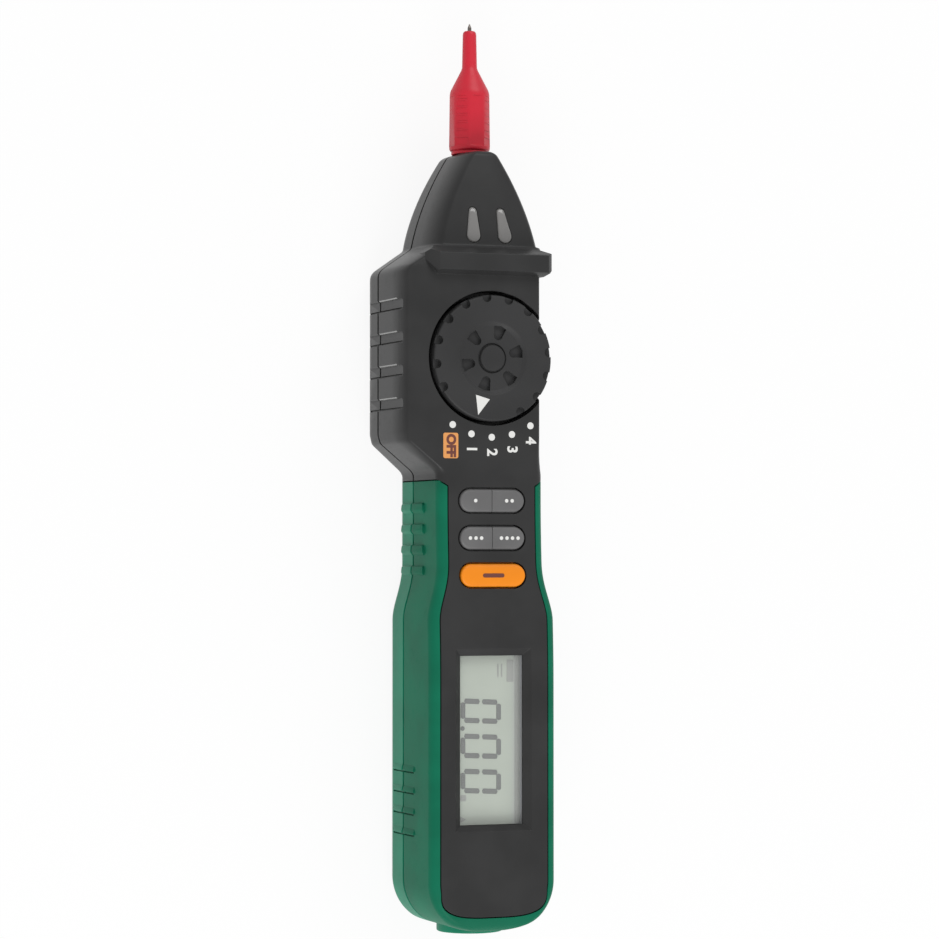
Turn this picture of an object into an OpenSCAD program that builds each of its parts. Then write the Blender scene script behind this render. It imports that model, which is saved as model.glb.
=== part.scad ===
// Pen-type multimeter lying on its flat back. +X is to the right of the display, +Y points to the
// probe tip and +Z out of the front face. The origin is on the flat back, below the probe's axis.
// Names in _l are lengths along Y, in _h heights along Z, in _hw half widths and in _r radii.

/* [Housing outline] */
// Origin down to the lower end
lower_l = 76.3; // [75:0.1:79]
// Straight belly, from the lower end up to the flare
belly_l = 69.7; // [69:0.1:72]
// Flare between belly and waist
flare_l = 13.7; // [13:0.1:16]
// Waist, from the flare up to the head
waist_l = 19.3; // [19:0.1:22]
// Head, up to its shoulder
head_l = 44.8; // [44:0.1:48]
// Slope by which the waist widens to the head
slope_l = 7.9; // [7:0.1:9]
// Shoulder slope, from the head in to the nose
shoulder_l = 6.8; // [6:0.1:8]
// Nose
nose_l = 21.9; // [21:0.1:25]
// Belly half width
belly_hw = 15.2; // [15.1:0.05:16.5]
// Waist half width
waist_hw = 12.8; // [12.7:0.05:13.4]
// Reach of the head to the left
head_reach = 21.4; // [21.2:0.1:23]
// Reach of the finger guard to the right
guard_hw = 14.3; // [13.6:0.1:15]
// Nose half width at its base
nose_base_hw = 13.4; // [13.2:0.1:14.2]
// Nose half width at its end
nose_end_hw = 4.2; // [4.1:0.1:5]
// Corner radius of the lower end, seen from the front
corner_r = 11.3; // [9:0.1:11.5]

/* [Housing depth] */
// Probe and socket axis above the back
axis_h = 13.3; // [13:0.1:14]
// Axis down to the joint between the front and rear cases
seam_drop = 2.5; // [2.1:0.1:2.9]
// Axis up to the top of the main board
board_rise = 2.9; // [2.8:0.05:3.1]
// Main board up to the underside of the front face
stack_h = 9; // [8.9:0.05:9.3]
// Thickness of the head's front face
face_t = 1.45; // [1.2:0.05:1.8]
// Rise of the front face from the head to the belly
belly_rise = 1.75; // [1.4:0.05:2.2]
// Length over which the face rises from the head to the belly
rise_l = 40; // [35:0.5:45]
// Head's face down to the nose's face at its base
nose_base_drop = 1.65; // [1:0.05:1.9]
// Head's face down to the nose's face at its end
nose_end_drop = 4.05; // [3:0.05:4.6]
// Back of the nose at its end
nose_lift_h = 4.2; // [3:0.1:5]
// Back corner radius of the belly
belly_back_r = 4.5; // [3.5:0.1:5]
// Back corner radius of the head
head_back_r = 6.5; // [5:0.1:7]
// Back corner radius of the nose's end
nose_back_r = 3; // [2.5:0.1:3.6]
// Bevel of the head's front edge: width
head_edge_w = 1.5; // [1.2:0.05:1.7]
// Bevel of the head's front edge: height
head_edge_h = 2.9; // [2.4:0.1:3.2]
// Bevel of the nose's front edge: width
nose_edge_w = 2.6; // [2.2:0.05:2.8]
// Bevel of the nose's front edge: height
nose_edge_h = 4.2; // [3.4:0.1:4.6]
// Rounding of the lower end, front and back
end_round_r = 2.2; // [1:0.1:2.6]
// Rounding of the nose's end
nose_round_r = 1.1; // [0.6:0.1:1.5]

/* [Cases] */
// Wall of the black core inside the grips
core_wall = 1; // [0.9:0.05:1.2]
// Wall of the head and nose
head_wall = 2; // [1.8:0.05:2.2]
// Floor of the rear case
floor_t = 1.8; // [1.5:0.1:2.2]
// Half of the gap that shows at the joint
seam_gap = 0.1; // [0.05:0.01:0.15]

/* [Grips] */
// Width of the grip's front border, with its rounding
rim_w = 2.35; // [2.2:0.05:2.6]
// Grip below the black panel
chin_l = 3.5; // [3.3:0.1:4]
// Fall of the grip's front below the panel
chin_drop = 1.2; // [0.8:0.1:1.6]
// Head down to the top of the grips
grip_drop = 1.2; // [1:0.1:2]
// Slanted corner of the grips' top
grip_slant = 1.4; // [0.8:0.1:2]
// Groove that shows between panel and grip
reveal = 0.25; // [0.15:0.05:0.3]
// Number of pads on each flank, and of ribs
pads = 4; // [2:1:4]
// Spacing of the pads
pad_pitch = 4.75; // [4.2:0.05:5]
// Height of one pad
pad_l = 2.4; // [2:0.1:3]
// How far a pad stands proud
pad_proud = 0.45; // [0.2:0.05:0.6]
// Head down to the centre of the first pad
pad_drop = 7.6; // [7:0.1:9]
// Lower end up to the centre of the lowest rib
rib_rise = 21.8; // [20:0.1:24]
// Height of one rib
rib_l = 1.1; // [0.8:0.1:1.5]
// How far a rib stands proud
rib_proud = 0.35; // [0.2:0.05:0.5]

/* [Finger guard] */
// Rise of the guard above the head's face
guard_rise = 2.4; // [2:0.05:2.8]
// Flat of the guard's front
guard_flat_l = 3.8; // [2.8:0.1:4]
// Slope below the guard, down to the head's face
guard_foot_l = 0.9; // [0.7:0.1:2]
// Slope above the guard, down to the nose
guard_back_l = 1.8; // [1.4:0.1:2.4]
// Reach of the guard to the left, at the head's face
guard_left = 16.1; // [15.6:0.1:17]
// Slope of the guard's left end
guard_end_w = 2.7; // [2.5:0.1:4]
// Chamfer of the guard's right end
guard_chamfer = 1.3; // [0.8:0.1:1.6]

/* [Head grooves] */
// Number of grooves in the head's left side
grooves = 4; // [2:1:4]
// Spacing of the grooves
groove_pitch = 7.45; // [7:0.01:7.6]
// Height of a groove
groove_l = 2.5; // [2.2:0.1:4]
// Depth of a groove
groove_d = 0.55; // [0.3:0.05:0.7]
// Height of the deep slot along a groove's upper edge
slot_l = 0.8; // [0.6:0.05:1]
// Depth of that slot
slot_d = 1.2; // [0.9:0.05:1.3]
// Head's foot up to the centre of the lowest groove
groove_rise = 15.6; // [15:0.1:17]

/* [Dial] */
// Head's foot up to the dial's axis
dial_rise = 26.1; // [25.8:0.1:27]
// Radius of the dial
dial_r = 14.25; // [14:0.05:14.5]
// Radial gap between dial and well
well_gap = 0.95; // [0.7:0.05:1.1]
// How far the dial stands above the head's face
dial_proud = 1; // [0.6:0.1:1.4]
// Depth of the well
well_d = 5.25; // [5:0.05:5.4]
// Thickness of the well's floor
well_floor_t = 1.6; // [1.4:0.05:1.8]
// Gap under the dial and over its rotor
dial_play = 0.3; // [0.2:0.05:0.4]
// Radius of the hub that passes through the floor
hub_r = 8; // [7.6:0.05:8.2]
// Running clearance of the hub
hub_gap = 0.06; // [0.03:0.01:0.1]
// Rim notches: width
notch_w = 2.1; // [1.2:0.1:2.2]
// Rim notches: depth
notch_d = 1.6; // [1:0.1:1.8]
// Rim notches: fall below the dial's face
notch_h = 1.4; // [1:0.1:2]
// Places for notches round the rim, of which three at the pointer stay empty
notch_places = 16; // [14:1:18]
// Outer radius of the dish
dish_r = 8.3; // [8:0.1:9]
// Width of the dish's slope
dish_slope_w = 1; // [0.6:0.1:1.4]
// Depth of the dish
dish_d = 0.7; // [0.4:0.05:1]
// Radius of the raised middle
boss_r = 3; // [2.8:0.1:3.8]
// Depth of the pockets in the dish
pocket_d = 0.9; // [0.5:0.05:1.2]
// Angle from a pocket's middle to its side, degrees
pocket_a = 17; // [12:1:22]
// Angle from one switch position to the next, degrees
step_a = 16.05; // [14:0.05:18]
// Length of the pointer
pointer_l = 4.2; // [3.5:0.1:4.6]
// Width of the pointer
pointer_w = 3.5; // [3:0.1:4]
// Thickness of the pointer
pointer_t = 0.5; // [0.3:0.05:0.8]

/* [Dial mechanism] */
// Radius of the rotor
rotor_r = 9.5; // [9.2:0.05:9.7]
// Height of the wipers under the rotor
wiper_h = 0.8; // [0.7:0.05:1]
// Radius of a detent ball
ball_r = 0.8; // [0.7:0.05:0.85]
// Gap between rotor and detent ring
detent_gap = 0.5; // [0.45:0.05:0.6]
// Wall of the detent ring
detent_wall = 0.8; // [0.6:0.05:0.9]
// Wire radius of the detent springs
detent_wire_r = 0.12; // [0.1:0.01:0.14]
// Thickness of a wiper blade
wiper_t = 0.25; // [0.2:0.05:0.3]

/* [Keys] */
// Head's foot down to the first row of keys
key_drop = 6; // [5.8:0.1:7]
// Spacing of the rows
key_pitch = 8.4; // [8.2:0.05:8.8]
// Half width of a key opening
key_hw = 8.2; // [8:0.05:8.3]
// Half height of a key opening
key_hl = 3; // [2.8:0.05:3.1]
// Gap round a key
key_gap = 0.4; // [0.3:0.05:0.5]
// How far a key stands above the face
key_proud = 0.5; // [0.3:0.05:0.8]
// Radius of a key's crown
crown_r = 7; // [6:0.5:12]
// Key travel
key_travel = 0.6; // [0.4:0.05:0.6]
// Gap between the two keys of a split pair
split_gap = 0.35; // [0.25:0.05:0.5]
// Half width of the valley between them
valley_hw = 0.8; // [0.5:0.05:1.1]
// Depth of that valley
valley_d = 0.55; // [0.3:0.05:0.7]
// Thickness of a key's flange
flange_t = 1; // [0.8:0.05:1.2]
// How far a flange reaches past the opening
flange_w = 0.45; // [0.4:0.05:0.5]
// Radius of a key's stem
stem_r = 1.4; // [1.2:0.1:1.8]
// Gap between stem and dome
stem_gap = 0.1; // [0.05:0.05:0.2]
// Thickness of the keypad mat
mat_t = 0.8; // [0.6:0.05:1]
// Radius of a dome's foot
dome_r = 2.4; // [2:0.1:2.6]
// Top of a dome down from the underside of the front face
dome_drop = 4.6; // [4.4:0.05:4.8]

/* [Display] */
// Lower end up to the centre of the window
window_rise = 43; // [42.6:0.1:44]
// Half length of the window's clear opening
window_hl = 19.45; // [19:0.05:19.6]
// Half width of the window's clear opening
window_hw = 7.8; // [7.4:0.05:8]
// Width of the bevel round the opening
bevel_w = 1.25; // [1:0.05:1.3]
// Belly's face down to the front of the window
window_d = 1.4; // [1.2:0.05:1.6]
// Thickness of the window
window_t = 1; // [0.8:0.05:1.2]
// Margin of the window behind the case
window_lap = 1.5; // [1.2:0.05:1.6]
// Thickness of the display panel
panel_t = 2.6; // [2.2:0.1:2.8]
// Margin of the display panel past the opening
panel_lap = 2; // [1.8:0.1:2.1]
// Wall of the display holder
holder_wall = 1.2; // [1:0.05:1.4]
// Half width of a contact strip
strip_hw = 0.9; // [0.6:0.05:1]

/* [Indicator lenses] */
// Nose base up to the lenses' wide ends
lens_rise = 2.35; // [2.2:0.05:4]
// Distance of a lens from the middle
lens_x = 3.6; // [3.4:0.05:4.2]
// Radius of a lens at its wide end
lens_low_r = 1.65; // [1.5:0.05:1.8]
// Radius of a lens at its narrow end
lens_top_r = 0.95; // [0.8:0.05:1.1]
// Distance between the centres of those two ends
lens_l = 5.5; // [5:0.1:6]
// Lean of the right lens, degrees
lens_lean = 9; // [0:1:12]
// Gap round a lens
lens_gap = 0.1; // [0.05:0.01:0.12]
// How far a lens stands proud of the nose
lens_proud = 0.3; // [0.1:0.05:0.5]
// Width of a lens's flange under the nose's roof
lens_flange_w = 0.5; // [0.4:0.05:0.6]
// Thickness of that flange
lens_flange_t = 0.8; // [0.6:0.05:1]
// Radius of an indicator lamp
lamp_r = 1.25; // [1:0.05:1.4]
// Height of an indicator lamp
lamp_h = 1.9; // [1.6:0.1:2]

/* [Probe] */
// Nose end up to the tip of the needle
probe_l = 30.2; // [30:0.1:34]
// Radius of the probe's shank
probe_r = 1; // [0.9:0.05:1.1]
// Radius of its needle
needle_r = 0.45; // [0.4:0.05:0.5]
// Length of the needle
needle_l = 2.8; // [2.6:0.1:3.2]
// Length of the needle's point
point_l = 0.9; // [0.6:0.1:1.2]
// Length of the taper from shank to needle
taper_l = 2.6; // [2:0.1:3.2]
// Radius of the probe holder inside the nose
holder_r = 3; // [2.9:0.05:3.1]
// Length of the holder inside the nose
holder_l = 12.9; // [12:0.1:13]
// Radius of the neck that carries the sleeve
neck_r = 2.6; // [2.4:0.05:2.8]
// Length of the neck
neck_l = 8; // [7:0.1:9]
// Foot of the holder up to the far side of its inner rib
holder_rib_in = 2.6; // [2.4:0.1:3]
// Thickness of that rib
holder_rib_t = 1.2; // [1:0.1:1.4]
// Close fit, as of the probe in its holder
close_fit = 0.02; // [0.01:0.01:0.04]

/* [Probe sleeve] */
// Length of the red sleeve
sleeve_l = 28.5; // [28:0.1:28.6]
// Radius of the sleeve's foot collar
foot_r = 4.2; // [3.8:0.05:4.3]
// Length of the foot collar
foot_l = 0.8; // [0.6:0.1:1.6]
// Radius of the sleeve's grip
sleeve_r = 4.68; // [4.4:0.02:4.9]
// Length of the sleeve's grip
sleeve_grip_l = 13.7; // [12.5:0.1:14]
// Length of the cone above the grip
sleeve_cone_l = 5.4; // [5:0.1:6]
// Radius of the sleeve's tube at its foot
tube_low_r = 1.72; // [1.6:0.02:1.8]
// Radius of the sleeve's tube at its mouth
tube_top_r = 1.56; // [1.5:0.02:1.6]
// Depth of the sleeve's flat panels
sleeve_flat_d = 0.3; // [0.1:0.05:0.35]
// Half width of a flat panel
sleeve_flat_hw = 1.55; // [1.2:0.05:1.8]
// Running clearance of the sleeve on the neck
sleeve_fit = 0.05; // [0.03:0.01:0.08]
// Clearance of the sleeve's mouth round the needle
mouth_fit = 0.12; // [0.08:0.01:0.2]

/* [Common socket] */
// Radius of the green collar
collar_r = 7.65; // [7.5:0.05:7.9]
// How far the collar stands out of the lower end
collar_proud = 1; // [0.8:0.1:1.6]
// How far the collar reaches inside
collar_in = 1.3; // [1.1:0.1:1.6]
// Outer radius of the socket body
socket_r = 6.5; // [6.4:0.05:6.7]
// Radius of the space round the contact
shroud_r = 5.3; // [5.1:0.05:5.4]
// Length of the socket body
socket_l = 16; // [15.5:0.1:16.2]
// Outer radius of the contact
contact_r = 3; // [2.8:0.05:3.1]
// Bore radius of the contact, for a 4 mm plug
contact_bore_r = 2; // [1.98:0.01:2.05]
// Depth of that bore
contact_bore_l = 14.5; // [14:0.1:15]
// How far the contact's mouth lies inside the collar
contact_set = 1.2; // [1:0.1:2]
// End wall of the contact
contact_end = 1.2; // [1:0.1:1.4]

/* [Battery bay] */
// Radius of a cell
cell_r = 5.25; // [5.2:0.01:5.25]
// Length of a cell with its button
cell_l = 44.5; // [44.2:0.1:44.5]
// Radius of a cell's button
button_r = 1.9; // [1.7:0.1:2]
// Length of a cell's button
button_l = 0.8; // [0.6:0.1:1]
// Gap between the two cells
cell_gap = 0.2; // [0.1:0.05:0.2]
// Clearance at the cells' flanks
bay_gap = 0.25; // [0.15:0.05:0.3]
// Length of the bay
bay_l = 49.5; // [49:0.1:49.8]
// Socket body up to the bay
bay_rise = 3; // [2.8:0.1:3.3]
// Wall over and beside the bay
bay_wall = 0.75; // [0.65:0.05:0.8]
// Wall at the bay's lower end
bay_end_wall = 1.2; // [1:0.1:1.4]
// Thickness of a contact plate
plate_t = 0.4; // [0.3:0.05:0.4]
// Wire radius of a cell spring
spring_wire_r = 0.3; // [0.25:0.05:0.35]

/* [Battery door] */
// Thickness of the door
door_t = 1.6; // [1.5:0.05:1.7]
// Gap round the door
door_gap = 0.2; // [0.1:0.05:0.25]
// How far the door laps the bay's edges
door_lap = 0.9; // [0.8:0.05:1]
// How far the door laps the bay's upper end
door_end_lap = 2.1; // [1.8:0.1:2.4]
// Wall at the bay's upper end
bay_top_wall = 3.4; // [3.2:0.1:3.8]
// Length of the door's screw tongue
tongue_l = 6.2; // [6:0.1:6.6]
// Half width of that tongue
tongue_hw = 4.2; // [3.8:0.1:4.6]
// Floor under the door's lower end
seat_t = 3.4; // [3.2:0.1:3.8]
// Grip ridges of the door
door_ridges = 5; // [3:1:7]

/* [Screws] */
// Thread radius of a case screw
screw_r = 1.1; // [1:0.05:1.2]
// Head radius of a case screw
screw_head_r = 2.1; // [1.9:0.05:2.2]
// Head height of a case screw
screw_head_t = 1.4; // [1.2:0.1:1.6]
// Length of a case screw under its head
screw_l = 11; // [10:0.5:12]
// Wall of a screw boss round the thread
boss_wall = 1.2; // [1:0.05:1.3]
// Distance of the lower screws from the middle
low_screw_x = 9.15; // [9.1:0.05:9.2]
// Lower end up to the lower screws
low_screw_rise = 10.3; // [10:0.1:10.8]
// Left side in to the upper screws
high_screw_in = 5; // [4.9:0.05:5.2]
// Upper screws in from the head's slopes
high_screw_clear = 3.4; // [3.2:0.1:3.8]
// Depth of the recess over a case screw's head
screw_sink = 1.5; // [1.2:0.1:2]
// Length of the door screw under its head
door_screw_l = 4.2; // [4:0.1:4.4]
// Head radius of the door screw
door_head_r = 2; // [1.8:0.05:2.2]

/* [Board] */
// Thickness of the main board
board_t = 1.6; // [1.5:0.1:1.7]
// Gap between the board and the walls
board_gap = 0.3; // [0.2:0.05:0.4]
// Side of the measuring chip
chip_l = 9; // [7:0.5:10]
// Height of the measuring chip
chip_h = 1.4; // [1:0.1:1.8]
// Radius of the buzzer
buzzer_r = 6; // [5:0.1:6.2]
// Height of the buzzer
buzzer_h = 4; // [3:0.1:4.5]
// Radius of the fuse's caps
fuse_r = 2.6; // [2.5:0.05:2.65]
// Length of the fuse
fuse_l = 20; // [19.5:0.1:20.5]
// Length of a fuse cap
fuse_cap_l = 5; // [4:0.1:5.5]
// Thickness of the sensing plate
sense_t = 0.4; // [0.3:0.05:0.5]
// Radius of a board post
post_r = 1.4; // [1.2:0.1:1.8]

/* [Hidden] */
$fn = 48;

black = [0.13, 0.13, 0.14];
green = [0.1, 0.42, 0.31];
red = [0.8, 0.12, 0.2];
orange = [0.98, 0.58, 0.1];
key_grey = [0.42, 0.42, 0.43];
steel = [0.75, 0.76, 0.78];
brass = [0.85, 0.7, 0.35];
ivory = [0.93, 0.91, 0.85];
board_green = [0.1, 0.35, 0.2];

// Overrun of every cut
cut = 1;

// Heights, built up from the axis through the board to the front
seam_h = axis_h - seam_drop;
board_h = axis_h + board_rise;
board_low_h = board_h - board_t;
roof_h = board_h + stack_h;
head_face_h = roof_h + face_t;
belly_face_h = head_face_h + belly_rise;
guard_h = head_face_h + guard_rise;
nose_base_h = head_face_h - nose_base_drop;
nose_end_h = head_face_h - nose_end_drop;
window_h = belly_face_h - window_d;
well_under_h = head_face_h - well_d - well_floor_t;
rotor_top_h = well_under_h - dial_play;
rotor_t = rotor_top_h - board_h - wiper_h;

// Stations along Y
lower_y = -lower_l;
flare_y = lower_y + belly_l;
waist_y = flare_y + flare_l;
head_y = waist_y + waist_l;
shoulder_y = head_y + head_l;
nose_y = shoulder_y + shoulder_l;
nose_end_y = nose_y + nose_l;
panel_y = lower_y + chin_l;
grip_y = head_y - grip_drop;
first_key_y = head_y - key_drop;
dial_y = head_y + dial_rise;
window_y = lower_y + window_rise;
lens_y = nose_y + lens_rise;
collar_y = lower_y + collar_in;
socket_y = collar_y + socket_l;
bay_y = socket_y + bay_rise;
bay_top_y = bay_y + bay_l;
low_screw_y = lower_y + low_screw_rise;
high_screw_x = high_screw_in - head_reach;
high_screw_ys = [head_y + slope_l + high_screw_clear, shoulder_y - high_screw_clear - boss_wall];

// Shares that shape the outline: [along, across] or [along, left, right]
guard_over_share = -0.15;
flare_skew = 1.25;
slope_shares = [[0, 0], [0.12, 0.07], [0.9, 0.94], [1.15, 1]];
shoulder_shares = [[0, 1, 0], [0.12, 0.985, 0.5], [0.26, 0.91, 1], [0.5, 0.62, 1], [1, 0, 0.95]];
nose_shares = [0.86, 0.72, 0.58, 0.44, 0.31, 0.2, 0.11, 0.045, 0.012, 0];
nose_bow_share = 0.52;
nose_lift_power = 1.5;
round_limit_share = 0.45;
corner_steps = 6;
flare_steps = 5;
back_steps = 4;
edge_steps = 3;

function mix(a, b, t) = a + (b - a) * t;
function ease(t) = let (c = min(1, max(0, t))) c * c * (3 - 2 * c);
function fall(d, r) = d >= r ? 0 : r - sqrt(r * r - pow(r - d, 2));
function nose_reach(s) = mix(nose_end_hw, nose_base_hw, s * (1 + nose_bow_share * (1 - s)));

// The housing's outline as rows of [y, reach to the left, reach to the right]
stations = concat(
    [for (i = [0:corner_steps])
        let (a = 90 * i / corner_steps, hw = belly_hw - corner_r * (1 - sin(a)))
        [lower_y + corner_r * (1 - cos(a)), hw, hw]],
    [for (i = [0:flare_steps])
        let (t = i / flare_steps, hw = mix(waist_hw, belly_hw, ease(pow(1 - t, flare_skew))))
        [flare_y + flare_l * t, hw, hw]],
    [for (s = slope_shares) [head_y + slope_l * s[0], mix(waist_hw, head_reach, s[1]), waist_hw]],
    [for (s = shoulder_shares) [shoulder_y + shoulder_l * s[0], mix(nose_base_hw, head_reach, s[1]),
        mix(waist_hw, guard_hw, s[2])]],
    [for (s = nose_shares) let (hw = nose_reach(s)) [nose_end_y - nose_l * s, hw, hw]]);

function reach(y, side) = lookup(y, [for (s = stations) [s[0], s[side]]]);
function face_h(y) = y < nose_y - guard_back_l
    ? mix(head_face_h, belly_face_h, ease((first_key_y - y) / rise_l)) - chin_drop * max(0,
        panel_y - y) / chin_l
    : lookup(y, [[nose_y - guard_back_l, head_face_h], [nose_y, nose_base_h], [nose_end_y, nose_end_h]]);
function back_h(y) = y < nose_y ? 0 : nose_lift_h * pow((y - nose_y) / nose_l, nose_lift_power);
function back_r(y) = lookup(y, [[head_y, belly_back_r], [head_y + slope_l, head_back_r],
    [nose_y, head_back_r], [nose_end_y, nose_back_r]]);
function edge_w(y) = lookup(y, [[head_y, rim_w], [head_y + slope_l, head_edge_w],
    [shoulder_y, head_edge_w], [nose_y, nose_edge_w]]);
function edge_h(y) = lookup(y, [[head_y, rim_w], [head_y + slope_l, head_edge_h],
    [shoulder_y, head_edge_h], [nose_y, nose_edge_h]]);

// One cross-section of the housing: up the left flank, over the front and down the right flank
function section(s) = let (
        y = s[0], end = fall(y - lower_y, end_round_r) + fall(nose_end_y - y, nose_round_r),
        left = s[1] - end, right = s[2] - end, low = back_h(y) + end, top = face_h(y) - end,
        most = (left + right) * round_limit_share, r = min(back_r(y), most), w = min(edge_w(y), most),
        h = edge_h(y),
        back = [for (i = [0:back_steps]) let (a = 90 * i / back_steps) [r * (1 - sin(a)),
            low + r * (1 - cos(a))]],
        front = [for (i = [0:edge_steps]) let (a = 90 * i / edge_steps) [w * (1 - cos(a)),
            top - h * (1 - sin(a))]],
        flank = concat(back, front), n = len(flank))
    concat([for (p = flank) [p[0] - left, y, p[1]]],
        [for (i = [n - 1:-1:0]) [right - flank[i][0], y, flank[i][1]]]);

// Solid through a list of rings with equal counts of points
module loft(rings) {
    n = len(rings[0]);
    last = (len(rings) - 1) * n;
    polyhedron(points = [for (ring = rings) each ring], faces = concat(
        [[for (j = [0:n - 1]) j]],
        [for (i = [0:len(rings) - 2], j = [0:n - 1])
            let (a = i * n + j, b = i * n + (j + 1) % n) each [[a, a + n, b + n], [a, b + n, b]]],
        [[for (j = [n - 1:-1:0]) last + j]]));
}

module housing_form() loft([for (s = stations) section(s)]);

// Extrusions of a flat shape along each axis, from one place to another
module along_x(a, b) translate([a, 0, 0]) rotate([90, 0, 90]) linear_extrude(b - a) children();
module along_y(a, b) translate([0, b, 0]) rotate([90, 0, 0]) linear_extrude(b - a) children();
module along_z(a, b) translate([0, 0, a]) linear_extrude(b - a) children();

// Flat shapes
module rect(x0, x1, y0, y1) translate([x0, y0]) square([x1 - x0, y1 - y0]);
module pill(hw, hl) {
    square([2 * (hw - hl), 2 * hl], center = true);
    for (s = [-1, 1]) translate([s * (hw - hl), 0]) circle(hl);
}
module rounded(x0, x1, y0, y1, r) {
    rect(x0 + r, x1 - r, y0, y1);
    rect(x0, x1, y0 + r, y1 - r);
    for (x = [x0 + r, x1 - r], y = [y0 + r, y1 - r]) translate([x, y]) circle(r);
}
module ring(outer, inner) difference() {
    circle(outer);
    circle(inner);
}

// The housing's outline between two stations, drawn in by an inset
function flank(a, b, side, inset) = concat([[reach(a, side) - inset, a]],
    [for (s = stations) if (s[0] > a && s[0] < b) [s[side] - inset, s[0]]],
    [[reach(b, side) - inset, b]]);
module band(a, b, inset) {
    left = flank(a, b, 1, inset);
    polygon(concat(flank(a, b, 2, inset), [for (i = [len(left) - 1:-1:0]) [-left[i][0], left[i][1]]]));
}

// The black core's outline: the panel between the grips, and all of the head and nose
module core_outline(gap) {
    wide = head_reach + cut;
    right = concat(flank(panel_y - gap, grip_y - grip_slant - gap, 2, rim_w - gap),
        [[waist_hw, grip_y - gap], [wide, grip_y - gap], [wide, nose_end_y + cut]]);
    polygon(concat(right, [for (i = [len(right) - 1:-1:0]) [-right[i][0], right[i][1]]]));
}
module tear(low_r, top_r) {
    circle(low_r);
    translate([0, lens_l]) circle(top_r);
    polygon([[low_r, 0], [top_r, lens_l], [-top_r, lens_l], [-low_r, 0]]);
}
module at_sense_lens() translate([-lens_x, lens_y]) children();
module at_logic_lens() translate([lens_x + lens_l * sin(lens_lean) / 2, lens_y]) rotate(lens_lean) children();

// Screw places
module at_low_screws() for (s = [-1, 1]) translate([s * low_screw_x, low_screw_y]) children();
module at_high_screws() for (y = high_screw_ys) translate([high_screw_x, y]) children();
post_places = [[-1, waist_y], [1, waist_y], [-1, head_y], [-1, head_y + slope_l],
    [1, head_y + slope_l], [1, shoulder_y]];

// Coil of round wire up along Z, from one radius to another
function coil_ring(t, r0, r1, h, turns, wire, sides) = let (a = 360 * turns * t, r = mix(r0, r1, t))
    [for (j = [0:sides - 1]) let (b = -360 * j / sides)
        [(r + wire * cos(b)) * cos(a), (r + wire * cos(b)) * sin(a), mix(wire, h - wire, t) + wire * sin(b)]];
module coil(r0, r1, h, turns, wire, steps, sides) {
    count = turns * steps;
    loft([for (i = [0:count]) coil_ring(i / count, r0, r1, h, turns, wire, sides)]);
}

// Grooves of the head's left side, cut through both cases
module side_grooves() {
    front = head_face_h - head_edge_h / 2;
    for (i = [0:grooves - 1]) {
        y = head_y + groove_rise + i * groove_pitch;
        along_x(-head_reach - cut, -head_reach + groove_d)
            rounded(y - groove_l / 2, y + groove_l / 2, back_r(shoulder_y) / 2, front, groove_l / 3);
        along_x(-head_reach - cut, -head_reach + slot_d)
            rounded(y + groove_l / 2 - slot_l, y + groove_l / 2, back_r(shoulder_y) / 3, front, slot_l / 3);
    }
}

// Finger guard across the head's top
module finger_guard() {
    top = nose_y + guard_back_l * guard_over_share;
    flat_top = top - guard_back_l;
    flat_low = flat_top - guard_flat_l;
    foot = flat_low - guard_foot_l;
    mid = axis_h + (head_face_h - axis_h) / 2;
    intersection() {
        along_x(-guard_left, guard_hw) polygon([[foot, mid], [foot, head_face_h], [flat_low, guard_h],
            [flat_top, guard_h], [top, nose_base_h], [top, mid]]);
        along_y(foot, top) polygon([[-guard_left, mid], [-guard_left, head_face_h],
            [guard_end_w - guard_left, guard_h], [guard_hw - guard_chamfer, guard_h],
            [guard_hw, guard_h - guard_chamfer], [guard_hw, mid]]);
        along_z(mid, guard_h) polygon([[-guard_left, foot], [waist_hw, foot],
            [guard_hw, foot + guard_chamfer], [guard_hw, top - guard_chamfer],
                [waist_hw - guard_chamfer, top],
            [-nose_base_hw, top], [-guard_left, flat_top]]);
    }
}

// Pads of the waist and ribs of the belly, on both flanks
module flank_pads() {
    for (s = [-1, 1]) scale([s, 1, 1]) {
        for (i = [0:pads - 1]) {
            y = head_y - pad_drop - i * pad_pitch;
            intersection() {
                along_z(0, head_face_h) polygon([[0, y - pad_l / 2], [0, y + pad_l / 2],
                    [waist_hw, y + pad_l / 2], [waist_hw + pad_proud, y - pad_l / 4],
                        [waist_hw + pad_proud, y - pad_l / 2]]);
                along_x(waist_hw - core_wall, waist_hw + pad_proud)
                    rounded(y - pad_l / 2, y + pad_l / 2, belly_back_r, axis_h + belly_back_r, pad_l / 3);
            }
        }
        for (i = [0:pads - 1]) {
            y = lower_y + rib_rise + i * pad_pitch;
            along_x(belly_hw - core_wall, belly_hw + rib_proud)
                rounded(y - rib_l / 2, y + rib_l / 2, belly_back_r, axis_h + belly_back_r, rib_l / 3);
        }
    }
}

// Room for the socket's collar and body in the lower end
module socket_room() {
    along_y(lower_y - cut, collar_y) translate([0, axis_h]) circle(collar_r);
    along_y(lower_y, socket_y) translate([0, axis_h]) circle(socket_r);
}
module holder_room() along_y(nose_end_y - holder_l, nose_end_y + cut)
    translate([0, axis_h]) circle(holder_r + close_fit);

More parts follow.
